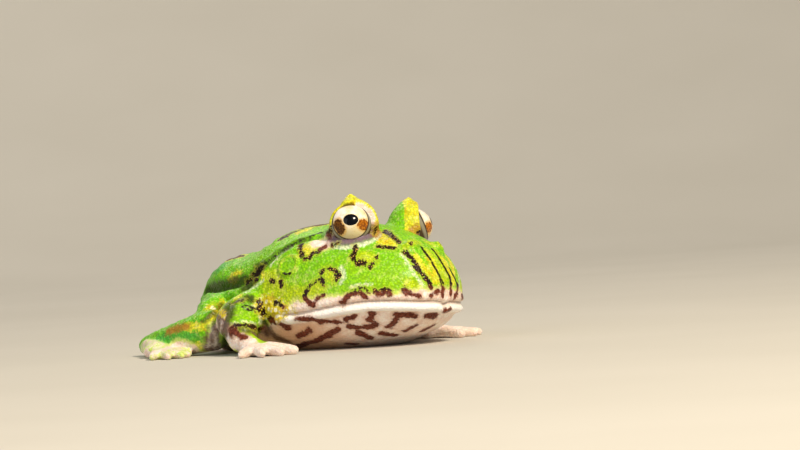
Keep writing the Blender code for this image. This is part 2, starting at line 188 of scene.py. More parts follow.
def eye_frame(side):
    """An eye's middle and its three directions: towards the nose, up and out along its look."""
    middle = tilted(at(EYE_FORWARD, side * EYE_SIDE, EYE_HEIGHT))
    heading = math.radians(EYE_LOOK_DEG)
    lift = math.radians(EYE_LOOK_UP_DEG)
    level = math.cos(lift)
    out = at(math.cos(heading) * level, side * math.sin(heading) * level, math.sin(lift)).normalized()
    nose = at(math.sin(heading), -side * math.cos(heading), 0).normalized()
    up = out.cross(nose) * side
    if up.z < 0:
        up = -up
    return middle, nose, up.normalized(), out


print("right and left eye are", [round(eye_frame(side)[0].z / MM, 1) for side in (-1, 1)], "mm up")

# %% [markdown]
# ## The skin, one piece over all the flesh
# A frog's skin runs unbroken over head, trunk and limbs, while the solids are parted by hair-thin cuts.
# It could be modelled anew round the solids, but then it would have to be fitted to them. So copies of
# the solids are swollen a little until they overlap, and a voxel remesh turns them into one closed skin.

# %% Copies of the solids of the flesh
def only(*things):
    """Selects just these things and makes the first of them active."""
    bpy.ops.object.select_all(action="DESELECT")
    for thing in things:
        thing.select_set(True)
    bpy.context.view_layer.objects.active = things[0]


flesh = sorted(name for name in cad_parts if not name.startswith("eye_"))
only(*[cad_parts[name] for name in flesh])
bpy.ops.object.duplicate()
copies = list(bpy.context.selected_objects)
for copy in copies:
    copy.parent = None
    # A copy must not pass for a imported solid, so it loses the marks of the frame
    for key in [key for key in copy.keys() if key.startswith("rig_")]:
        del copy[key]
copies.sort(key=lambda copy: copy.name)
print(len(copies), "solids are copied")

# %% Which solid a place belongs to
solid_points = []
solid_faces = []
solid_of_face = []
for copy in copies:
    first = len(solid_points)
    solid_points += [vert.co.copy() for vert in copy.data.vertices]
    solid_faces += [[first + v for v in face.vertices] for face in copy.data.polygons]
    solid_of_face += [copy.name.split(".")[0]] * len(copy.data.polygons)
solids_tree = BVHTree.FromPolygons(solid_points, solid_faces)
print("the copies have", len(solid_faces), "triangles")

# %% Join the copies and swell them
CUT_OVERLAP = 0.20
only(*copies)
bpy.ops.object.join()
skin = bpy.context.object
skin.name = "skin"
bpy.ops.object.mode_set(mode="EDIT")
bpy.ops.mesh.select_all(action="SELECT")
bpy.ops.mesh.remove_doubles(threshold=0.000001)
bpy.ops.object.mode_set(mode="OBJECT")
swell = skin.modifiers.new("swell", "DISPLACE")
swell.strength = CUT_OVERLAP * MM
swell.mid_level = 0.0
bpy.ops.object.modifier_apply(modifier="swell")
print("the joined copies have", len(skin.data.vertices), "points")

# %% [markdown]
# ## Lid rolls and horns
# A soft roll of skin frames each eye, and the small horn that gives the frog its name rises from the
# upper lid. They could be pulled out of the skin, but a ring and a cone that are joined to the copies
# before the remesh keep their round form and grow out of the skin with no seam.

# %% Lid rolls and horns
LID_ROLL_RADIUS = 3.55
LID_ROLL_THICKNESS = 0.45
LID_ROLL_OUT = 1.45
# Millimetres from the eye's middle: forward, out to the side and up
HORN_TIP = (0.1, -0.1, 5.9)
HORN_FOOT = (0.0, -0.6, 1.5)
HORN_LENGTH = 4.0
HORN_FOOT_RADIUS = 1.9
HORN_TIP_RADIUS = 0.12


def by_eye(side, forward, outward, up):
    """A place given from the middle of an eye, on the cocked head."""
    return tilted(at(EYE_FORWARD + forward, side * (EYE_SIDE + outward), EYE_HEIGHT + up))


extras = []
for side in (-1, 1):
    middle, nose, up, out = eye_frame(side)
    bpy.ops.object.select_all(action="DESELECT")
    bpy.ops.mesh.primitive_torus_add(
        location=middle + out * LID_ROLL_OUT * MM,
        rotation=out.to_track_quat("Z", "Y").to_euler(),
        major_segments=48,
        minor_segments=12,
        major_radius=LID_ROLL_RADIUS * MM,
        minor_radius=LID_ROLL_THICKNESS * MM,
    )
    extras.append(bpy.context.object)
    tip = by_eye(side, *HORN_TIP)
    foot = by_eye(side, *HORN_FOOT)
    along = (tip - foot).normalized()
    bpy.ops.object.select_all(action="DESELECT")
    bpy.ops.mesh.primitive_cone_add(
        location=(tip + foot) / 2,
        rotation=along.to_track_quat("Z", "Y").to_euler(),
        vertices=24,
        radius1=HORN_FOOT_RADIUS * MM,
        radius2=HORN_TIP_RADIUS * MM,
        depth=HORN_LENGTH * MM,
    )
    extras.append(bpy.context.object)
only(skin, *extras)
bpy.ops.object.join()
bpy.ops.object.transform_apply(location=True, rotation=True, scale=True)
print(len(extras), "rolls and horns are joined to the copies")

# %% One closed skin
# Small even faces, fine enough to shape folds and warts in, and few enough for one piece
SKIN_CELL = 0.307
SKIN_SMOOTHING = 5
mesh_again = skin.modifiers.new("one skin", "REMESH")
mesh_again.mode = "VOXEL"
mesh_again.voxel_size = SKIN_CELL * MM
soften = skin.modifiers.new("soften", "SMOOTH")
soften.factor = 0.5
soften.iterations = SKIN_SMOOTHING
bpy.ops.object.modifier_apply(modifier="one skin")
bpy.ops.object.modifier_apply(modifier="soften")
print("the skin has", len(skin.data.polygons), "faces")

# %% [markdown]
# ## Brushes
# Folds, rims and markings of a frog all follow lines on its skin. They could be sculpted and painted with
# a brush in the hand. In code a brush is a line and a distance: the line is given by a few places, in the
# picture or on the frog, and is laid on the skin in short steps. Then every point of the skin is asked
# how far it is from the line, and close to it the skin is pushed in or out, or is marked.


# %% The points of the skin
class Skin:
    """The points of the skin with their directions and neighbours, as arrays."""

    def __init__(self, thing):
        self.thing = thing
        self.refresh()
        count = len(thing.data.vertices)
        edges = np.zeros(len(thing.data.edges) * 2, np.int64)
        thing.data.edges.foreach_get("vertices", edges)
        self.edges = edges.reshape(-1, 2)
        self.degree = np.bincount(self.edges.ravel(), minlength=count).astype(float)

    def refresh(self):
        """Reads places and normals again after the mesh has changed."""
        mesh = self.thing.data
        places = np.zeros(len(mesh.vertices) * 3, np.float32)
        mesh.vertices.foreach_get("co", places)
        self.places = places.reshape(-1, 3).astype(float)
        normals = np.zeros(len(mesh.vertices) * 3, np.float32)
        mesh.vertex_normals.foreach_get("vector", normals)
        self.normals = normals.reshape(-1, 3).astype(float)
        self.tree = BVHTree.FromObject(self.thing, bpy.context.evaluated_depsgraph_get())

    def write(self, places):
        """Puts moved places back on the mesh."""
        self.thing.data.vertices.foreach_set("co", places.astype(np.float32).ravel())
        self.thing.data.update()
        self.refresh()

    def push(self, amounts):
        """Moves every point out along its normal by so many millimetres, or in where that is negative."""
        self.write(self.places + self.normals * (amounts * MM)[:, None])

    def spread(self, values, times):
        """Softens a value over the skin by averaging each point with its neighbours."""
        for _ in range(times):
            total = np.bincount(self.edges[:, 0], values[self.edges[:, 1]], len(values))
            total += np.bincount(self.edges[:, 1], values[self.edges[:, 0]], len(values))
            values = 0.5 * values + 0.5 * total / np.maximum(self.degree, 1)
        return values

    def keep(self, name, values):
        """Stores a value for every point, for a shader to read by its name."""
        made = self.thing.data.attributes.new(name, "FLOAT", "POINT")
        made.data.foreach_set("value", values.astype(np.float32))

    def away_from(self, place):
        """How far each point is from a place, in millimetres."""
        return np.sqrt(((self.places - np.array(place)) ** 2).sum(1)) / MM


hide = Skin(skin)
print("the skin has", len(hide.places), "points")

# %% Lines laid on the skin
LINE_STEP = 0.3
GRAZING = 0.5
OVERHEAD = 60


def steps_along(line, unit):
    """Places along a line, at most LINE_STEP millimetres apart; a millimetre is so many of its units."""
    for (x0, y0), (x1, y1) in zip(line, line[1:]):
        steps = max(1, math.ceil(math.hypot(x1 - x0, y1 - y0) / unit / LINE_STEP))
        for k in range(steps + 1):
            yield x0 + (x1 - x0) * k / steps, y0 + (y1 - y0) * k / steps


def seen(line):
    """Lays a line of picture pixels on the skin; each place comes with how squarely it is seen."""
    found = []
    for across, down in steps_along(line, PIXELS_PER_MM):
        ray = sight(across, down)
        place, normal, _, _ = hide.tree.ray_cast(camera.location, ray)
        if place is not None:
            found.append((place, max(-normal.dot(ray), GRAZING)))
    return found


def dropped(line):
    """Lays a line that is given as forward and left on the skin, straight down from above."""
    found = []
    for forward, left in steps_along(line, 1):
        place, _, _, _ = hide.tree.ray_cast(at(forward, left, OVERHEAD), Vector((0, 0, -1)))
        if place is not None:
            found.append((place, 1.0))
    return found


def both_sides(line):
    """A laid line and its twin on the other side of the frog."""
    twin = []
    for place, squareness in line:
        near, _, _, _ = hide.tree.find_nearest(mirrored(place))
        twin.append((near, squareness))
    return line, twin


print("a line across the brow is laid in", len(seen(((330, 250), (400, 250)))), "places")

# %% How far a point is from a line
FAR = 3.0


def distance(line, half_width, reach=FAR):
    """How far outside a laid line each point is in millimetres; a negative number is inside it."""
    result = np.full(len(hide.places), reach)
    if not line:
        return result
    centres = np.array([place[:] for place, _ in line])
    low = centres.min(0) - (reach + half_width * 2) * MM
    high = centres.max(0) + (reach + half_width * 2) * MM
    near = np.nonzero(((hide.places > low) & (hide.places < high)).all(1))[0]
    spots = hide.places[near]
    best = np.full(len(near), reach)
    for centre, (_, squareness) in zip(centres, line):
        away = np.sqrt(((spots - centre) ** 2).sum(1)) / MM - half_width / squareness
        best = np.minimum(best, away)
    result[near] = best
    return result


def hill(away, width):
    """A smooth hill of height 1 on a line, that fades with the distance from it."""
    return np.exp(-((np.maximum(away, 0) / width) ** 2))


def ridge(away, middle, width):
    """A smooth hill of height 1 at one distance, that fades to both sides of it."""
    return np.exp(-(((away - middle) / width) ** 2))


def fade_in(values, starts, full):
    """0 up to where it starts, 1 from where it is full and smooth between."""
    share = np.clip((values - starts) / (full - starts), 0, 1)
    return share * share * (3 - 2 * share)


def fade_out(values, full, ends):
    """1 up to where it is full, 0 from where it ends and smooth between."""
    return fade_in(-values, -ends, -full)


print("1 mm away from a line, a hill 0.5 mm wide is", round(float(hill(np.array(1.0), 0.5)), 3), "high")

# %% [markdown]
# ## Which part of the body a place belongs to
# The hands are pale and the back is green, so the skin has to know where it is. Boxes round hand, foot
# and head could tell, but the solids already have the right shape. Each point takes the name of the
# nearest one, and the borders between parts are softened later, where a colour needs it.

# %% Parts of the body
LIMBS = ("upper", "forearm", "hand", "thigh", "shank", "foot")
ARMS = ("upper_arm_left", "upper_arm_right", "forearm_left", "forearm_right")
LEGS = ("thigh_left", "thigh_right", "shank_left", "shank_right")
names = np.array([solid_of_face[solids_tree.find_nearest(Vector(place))[2]] for place in hide.places])


def is_part(*parts):
    """1 on the named parts and 0 elsewhere."""
    return np.isin(names, parts).astype(float)


limbs = is_part(*[name for name in flesh if name.split("_")[0] in LIMBS])
trunk = 1 - limbs
print({str(name): int((names == name).sum()) for name in np.unique(names)})

# %% Every point on the straight head, in millimetres
straight = np.array([straightened(Vector(place))[:] for place in hide.places]) / MM
forward = -straight[:, 1]
left = straight[:, 0]
up = straight[:, 2]
print("the snout reaches", round(float(forward.max()), 1), "mm forward")

# %% [markdown]
# ## The mouth
# The mouth of a horned frog runs from one side of the head to the other, and its lips are soft rolls. The
# slit could be cut into the skin as an edge, but living lips meet in a round-bottomed furrow. So the slit
# is pressed in along the cut between the solids of head and jaw, and a lip is raised above and below it.

# %% The line of the mouth
JAW_HALF_WIDTH = 15.2
JAW_LENGTH = 23.7
JAW_SQUARENESS = 2.2
JAW_CORNER = 10.0
MOUTH_FORWARD = (10.0, 14.4, 19.0, 22.0, 26.3, 28.8, 31.0, 32.6, 37.0)
MOUTH_UP = (5.2, 5.2, 5.6, 5.85, 6.05, 5.9, 5.7, 5.5, 5.4)
MOUTH_POINT = 0.45
MOUTH_POINT_WIDTH = 0.9
MOUTH_STEPS = 240


def mouth_line():
    """The slit from the right corner round the snout to the left corner, laid on the skin."""
    found = []
    for k in range(MOUTH_STEPS + 1):
        angle = math.pi * k / MOUTH_STEPS
        power = 2 / JAW_SQUARENESS
        place = JAW_CORNER + JAW_LENGTH * math.sin(angle) ** power
        side = -math.copysign(JAW_HALF_WIDTH * abs(math.cos(angle)) ** power, math.cos(angle))
        height = float(np.interp(place, MOUTH_FORWARD, MOUTH_UP))
        height -= MOUTH_POINT * math.exp(-((side / MOUTH_POINT_WIDTH) ** 2))
        near, _, _, _ = hide.tree.find_nearest(tilted(at(place, side, height)))
        found.append((near, 1.0))
    return found


slit = mouth_line()
print("the slit of the mouth has", len(slit), "places")

# %% Press in the slit and raise the lips
SLIT_DEPTH = 0.42
SLIT_WIDTH = 0.26
LIP_REACH = (2.0, 3.4)
# Upper lip, lower lip and the groove under it: how far out, how high over the slit and how wide
LIPS = ((0.22, 0.85, 0.55), (0.55, -0.95, 0.65), (-0.30, -2.3, 0.55))

slit_away = distance(slit, 0.0, 6.0)
mouth_up = np.interp(forward, MOUTH_FORWARD, MOUTH_UP)
mouth_up = mouth_up - MOUTH_POINT * np.exp(-((left / MOUTH_POINT_WIDTH) ** 2))
above_mouth = up - mouth_up
close_to_slit = fade_out(slit_away, *LIP_REACH)
push = -SLIT_DEPTH * hill(slit_away, SLIT_WIDTH)
for height, middle, width in LIPS:
    push += height * ridge(above_mouth, middle, width) * close_to_slit
hide.push(push * trunk)
print("the lower lip stands out", round(float(push.max()), 2), "mm")

# %% [markdown]
# ## The eyelids
# The lids hug the ball of the eye: the upper one hangs lowest, and towards the nose and below more of the
# ball shows. Lids could be shells of their own, but then a seam would show. So the opening is an angle
# from the eye's look that differs round the eye. Skin inside it is drawn in under the ball, and skin past
# it is pulled close to the ball, which leaves no gap.

# %% Directions round an eye
LID_OPEN_DEG = {"up": 57.0, "nose": 73.0, "down": 97.0, "tail": 62.0}


def round_the_eye(side):
    """Each point's distance from an eye, angle from the eye's look, and shares up and nosewards."""
    middle, nose, high, out = (np.array(v) for v in eye_frame(side))
    offset = (hide.places - middle) / MM
    away = np.sqrt((offset**2).sum(1))
    angle = np.degrees(np.arccos(np.clip(offset @ out / away, -1, 1)))
    flat = np.maximum(np.hypot(offset @ nose, offset @ high), 1e-6)
    return away, angle, offset @ high / flat, offset @ nose / flat


def lid_opening(high_share, nose_share):
    """The angle to which the lids open in a direction round the eye."""
    vertical = np.where(high_share > 0, LID_OPEN_DEG["up"], LID_OPEN_DEG["down"])
    level = np.where(nose_share > 0, LID_OPEN_DEG["nose"], LID_OPEN_DEG["tail"])
    return vertical * high_share**2 + level * nose_share**2


print("between up and nose the lids open to", round(float(lid_opening(0.707, 0.707)), 1), "degrees")

# %% Lower the cheek under the eye
CHEEK_LOWERED = 0.95
CHEEK_REACH = (5.0, 7.2)
BELOW_LEVEL = (-0.35, 0.05)
places = hide.places.copy()
for side in (-1, 1):
    away, _, high_share, _ = round_the_eye(side)
    lowered = CHEEK_LOWERED * MM * fade_out(high_share, *BELOW_LEVEL)
    places[:, 2] -= lowered * fade_out(away, *CHEEK_REACH)
hide.write(places)
print("the cheek is lowered by", CHEEK_LOWERED, "mm")

# %% Sizes of the lids
# Radii are from the eye's middle. A pair tells where something goes from full to none: as shares upward or
# nosewards, as distances from the middle, or as degrees past the opening.
LID_REACH = 6.4
LID_EDGE_DEG = 1.0
LID_SLOPE_DEG = 9.0
DRAWN_REACH = 5.6
UNDER_BALL = 3.3
TAIL_LID_RADIUS = 3.95
TAIL_LID_MOST = 0.9
TAIL_SIDE = (-0.15, 0.45)
TAIL_REACH = (5.0, 6.2)
UP_TO_THE_TOP = (0.86, 1.0)
LOWER_LID_RADIUS = 3.72
LOWER_LID_FLARE = 0.02
LOWER_LID_MOST = 1.6
LOWER_LID_DEG = (18.0, 38.0)
LOWER_SIDE = (-0.4, 0.0)
LOWER_LID_REACH = (5.4, 6.8)
BAG_RADIUS = 4.75
BAG_HEIGHT = 0.24
BAG_WIDTH = 0.32
BAG_SIDE = (-0.5, 0.1)
BAG_BEADS = 34
BEAD_SHARE = 0.35
print("the lids reach", round(LID_REACH - EYE_RADIUS, 1), "mm past the ball")

# %% Draw the lids over the ball
places = hide.places.copy()
lids = []
for side in (-1, 1):
    middle = np.array(eye_frame(side)[0])
    away, angle, high_share, nose_share = round_the_eye(side)
    opening = lid_opening(high_share, nose_share)
    past = angle - opening
    # Inside the opening the skin goes under the ball
    drawn = 1 - fade_in(angle, opening - LID_EDGE_DEG, opening + LID_SLOPE_DEG)
    drawn = drawn * (away < DRAWN_REACH)
    radius = away * (1 - drawn) + UNDER_BALL * drawn
    near = drawn > 0
    places[near] = middle + (hide.places[near] - middle) * (radius / away)[near][:, None]
    # Behind the eye the lid is slim
    slim = fade_in(high_share, *BELOW_LEVEL) * fade_out(nose_share, *TAIL_SIDE)
    slim = slim * fade_out(away, *TAIL_REACH)
    excess = np.clip(away - TAIL_LID_RADIUS, 0.0, TAIL_LID_MOST) * slim * (1 - drawn)
    excess = excess * fade_out(high_share, *UP_TO_THE_TOP)
    places -= (hide.places - middle) * (excess / away)[:, None]
    # Below, the lid hugs the ball
    hug = fade_out(high_share, *LOWER_SIDE) * (1 - drawn) * fade_out(past, *LOWER_LID_DEG)
    hug *= fade_out(away, *LOWER_LID_REACH)
    beyond = away - LOWER_LID_RADIUS - LOWER_LID_FLARE * np.clip(past, 0, None)
    pulled = np.clip(beyond, 0.0, LOWER_LID_MOST) * hug
    places -= (hide.places - middle) * (pulled / away)[:, None]
    # Under it lies a beaded bag of skin
    around = np.arctan2(high_share, nose_share)
    beads = 1.0 + BEAD_SHARE * np.cos(around * BAG_BEADS)
    bag = BAG_HEIGHT * beads * fade_out(high_share, *BAG_SIDE)
    bag = bag * hill(np.abs(away - pulled - BAG_RADIUS), BAG_WIDTH)
    places += hide.normals * (bag * (1 - drawn) * MM)[:, None]
    lids.append((away < LID_REACH, past, high_share, nose_share, np.minimum(away - pulled, radius)))
hide.write(places)
print("the lids take in", int(lids[0][0].sum() + lids[1][0].sum()), "points")

# %% [markdown]
# ## Folds and swells of the body
# A sitting frog is all soft folds: the hump of the back swells over the flank, the flank over the thigh,
# and the arm is pressed against the side. Each could be a shape of its own in the solids, but they are
# shallow and run out softly. So they are brushed in along lines that are measured in the picture, across
# and down.

# %% Creases and bulges of the body
# How deep, how wide and the line that it follows
BODY_CREASES = {
    "under the hump": (1.5, 0.95, (205, 290), (213, 287), (223, 286.5), (236, 284), (247, 279), (255, 272)),
    "over the thigh": (0.3, 0.6, (203, 322), (213, 315), (224, 306), (233, 300)),
    "behind the arm": (0.35, 0.6, (233, 304), (227, 313), (225, 326), (227, 338)),
    "above the arm": (0.35, 0.5, (234, 303), (240, 298.5), (248, 299), (253, 303)),
    "front of the arm": (0.32, 0.45, (261, 304), (262.5, 312), (263, 321), (264, 330)),
}
# How high, how wide and the line that it follows
BODY_BULGES = {
    "hump": (0.6, 2.6, (222, 270), (240, 268)),
    "flank": (0.6, 1.9, (209, 303), (222, 297), (234, 292)),
    "shoulder": (0.35, 1.3, (242, 309), (248, 312)),
}
CREASE_REACH = 5.0
BULGE_REACH = 8.0
push = np.zeros(len(hide.places))
for depth, width, *line in BODY_CREASES.values():
    for laid in both_sides(seen(line)):
        push -= depth * hill(distance(laid, 0.0, CREASE_REACH), width)
for height, width, *line in BODY_BULGES.values():
    for laid in both_sides(seen(line)):
        push += height * hill(distance(laid, 0.0, BULGE_REACH), width)
print("the deepest crease is", round(-float(push.min()), 2), "mm deep")

# %% [markdown]
# ## The fold behind the eye, the eardrum and the nostrils
# Behind the eye a fold of skin runs down to the shoulder, with a soft lip over it. The eardrum shows as a
# low ring, and a nostril is a small pit with a raised rim. A boolean could cut the nostrils, but its edge
# would be sharp, so all of these are brushed as well. They join the pushes of the body in one move.

# %% Where folds and rings lie in the picture
FOLD_BEHIND_EYE = (
    (317, 237), (310, 238), (294, 243), (280, 252), (269, 261), (260, 269), (256, 279), (246, 288),
)
EARDRUM_MIDDLE = (288, 264.8)
EARDRUM_RADIUS = 1.85
BROW_EDGE = ((382, 229), (390, 236), (399, 242))
ARM_CREASES = (
    ((236, 307.5), (247, 308), (254, 310.5)),
    ((238, 311.5), (246, 312.5), (252, 312)),
    ((231, 328), (234, 325.5), (243, 323.4), (253, 326), (260, 328)),
)
NOSTRIL = (411.8, 243.6)


def place_seen(across, down):
    """Where the line of sight of one picture place meets the skin."""
    place, _, _, _ = hide.tree.ray_cast(camera.location, sight(across, down))
    return place


drum_place = place_seen(*EARDRUM_MIDDLE)
pit_place = place_seen(*NOSTRIL)
print("the eardrum lies", round(-drum_place.y / MM, 1), "mm forward")

# %% Brush them in
FOLD_DEPTH = 0.75
FOLD_WIDTH = 0.45
FOLD_LIP_OVER = 0.9
FOLD_LIP_HEIGHT = 0.42
FOLD_LIP_WIDTH = 0.85
# Height or depth, distance from the ring or the pit, and width
EARDRUM_RIM = (0.34, 0.0, 0.30)
EARDRUM_DIP = (0.16, 0.75, 0.35)
NOSTRIL_RIM = (0.09, 0.80, 0.35)
# Depth and width
NOSTRIL_PIT = (0.6, 0.34)
BROW_CREASE = (0.10, 0.4)
ARM_CREASE = (0.20, 0.25)

for line in both_sides(seen(FOLD_BEHIND_EYE)):
    push -= FOLD_DEPTH * hill(distance(line, 0.0, CREASE_REACH), FOLD_WIDTH)
    lifted = [(place + Vector((0, 0, FOLD_LIP_OVER)) * MM, square) for place, square in line]
    push += FOLD_LIP_HEIGHT * hill(distance(lifted, 0.0, CREASE_REACH), FOLD_LIP_WIDTH)
for place in (drum_place, mirrored(drum_place)):
    from_ring = hide.away_from(place) - EARDRUM_RADIUS
    push += EARDRUM_RIM[0] * ridge(from_ring, *EARDRUM_RIM[1:])
    push -= EARDRUM_DIP[0] * ridge(from_ring, *EARDRUM_DIP[1:])
for line in both_sides(seen(BROW_EDGE)):
    push -= BROW_CREASE[0] * hill(distance(line, 0.0), BROW_CREASE[1])
for crease in ARM_CREASES:
    push -= ARM_CREASE[0] * hill(distance(seen(crease), 0.0), ARM_CREASE[1])
for place in (pit_place, mirrored(pit_place)):
    from_pit = hide.away_from(place)
    push -= NOSTRIL_PIT[0] * hill(from_pit, NOSTRIL_PIT[1])
    push += NOSTRIL_RIM[0] * ridge(from_pit, *NOSTRIL_RIM[1:])
hide.push(push)
print("the folds reach from", round(float(push.min()), 2), "to", round(float(push.max()), 2), "mm")

# %% [markdown]
# ## Warts
# The back, flanks and legs of the frog carry soft round warts of many sizes, while its face is finely
# grained, and pearly granules crowd the corners of the mouth. Copies of a small dome could be scattered
# on the skin, but they would be loose shells. So each wart is a small hill of the skin itself, at a point
# that a seeded generator picks: every run gives the same frog.

# %% The wart brush
WART_SEED = 7
WART_SKIRT = 2.2
generator = np.random.default_rng(WART_SEED)
point_tree = KDTree(len(hide.places))
for index, place in enumerate(hide.places):
    point_tree.insert(place, index)
point_tree.balance()


def warts(chance, count, radii, height):
    """Raises round warts at random points, more of them where the chance is high."""
    raised = np.zeros(len(hide.places))
    picks = generator.choice(len(hide.places), size=count, replace=False, p=chance / chance.sum())
    for pick in picks:
        radius = generator.uniform(*radii)
        tall = height * generator.uniform(0.5, 1.0) * radius / radii[1]
        for _, index, away in point_tree.find_range(hide.places[pick], radius * WART_SKIRT * MM):
            raised[index] = max(raised[index], tall * math.exp(-((away / MM / radius) ** 2)))
    return raised


print("the wart brush knows", len(hide.places), "points")

# %% Where warts grow
CORNER_OF_MOUTH = ((264, 304), (271, 310), (283, 316))
CORNER_WIDTH = 1.9
CORNER_REACH = 6.0
# A pair tells where warts go from none to full, or at the nape from full to none
UP_THE_BACK = (3.5, 6.0)
FORWARD_TO_NAPE = (3.0, 8.0)
OFF_THE_FLOOR = (2 * MM, 4 * MM)
AWAY_FROM_EYE = (5.2, 6.2)
FORWARD_ON_HEAD = (5.0, 9.0)
OVER_THE_LIP = (2.5, 4.0)
on_back = trunk * fade_in(up, *UP_THE_BACK) * fade_out(forward, *FORWARD_TO_NAPE)
on_legs = is_part(*LEGS) * fade_in(hide.places[:, 2], *OFF_THE_FLOOR)
on_arms = is_part(*ARMS)
at_corner = np.zeros(len(hide.places))
for line in both_sides(seen(CORNER_OF_MOUTH)):
    at_corner = np.maximum(at_corner, hill(distance(line, 0.0, CORNER_REACH), CORNER_WIDTH))
away_from_eyes = np.ones(len(hide.places))
for side in (-1, 1):
    away_from_eyes *= fade_in(hide.away_from(eye_frame(side)[0]), *AWAY_FROM_EYE)
on_head = trunk * fade_in(forward, *FORWARD_ON_HEAD) * fade_in(above_mouth, *OVER_THE_LIP) * away_from_eyes
print("granules at the corners of the mouth:", int((at_corner > 0.5).sum()), "points")

# %% Raise the warts and fill out the arms
ARM_SWELL = 0.6
ARM_BLENDING = 10
LEG_SHARE = 0.7
ANYWHERE = 1e-9
SWELLING_TAKEN_BACK = 0.5
# Where they grow, how many, how wide and how high
WARTS = {
    "large, on back and legs": (on_back + LEG_SHARE * on_legs, 420, (0.35, 0.85), 0.30),
    "small, on back and limbs": (on_legs + on_arms + on_back, 500, (0.3, 0.5), 0.14),
    "granules at the corners of the mouth": (at_corner**2, 190, (0.42, 0.62), 0.42),
    "low, on the head": (on_head, 260, (0.3, 0.6), 0.07),
}
push = np.zeros(len(hide.places))
for chance, count, radii, height in WARTS.values():
    push = np.maximum(push, warts(chance + ANYWHERE, count, radii, height))
push += ARM_SWELL * hide.spread(on_arms, ARM_BLENDING)
moved = hide.places + hide.normals * ((push - CUT_OVERLAP * SWELLING_TAKEN_BACK) * MM)[:, None]
# No wart goes under the floor
moved[:, 2] = np.maximum(moved[:, 2], 0.0)
hide.write(moved)
how_many = sum(count for _, count, _, _ in WARTS.values())
print(how_many, "warts and the swollen arms rise up to", round(float(push.max()), 2), "mm")
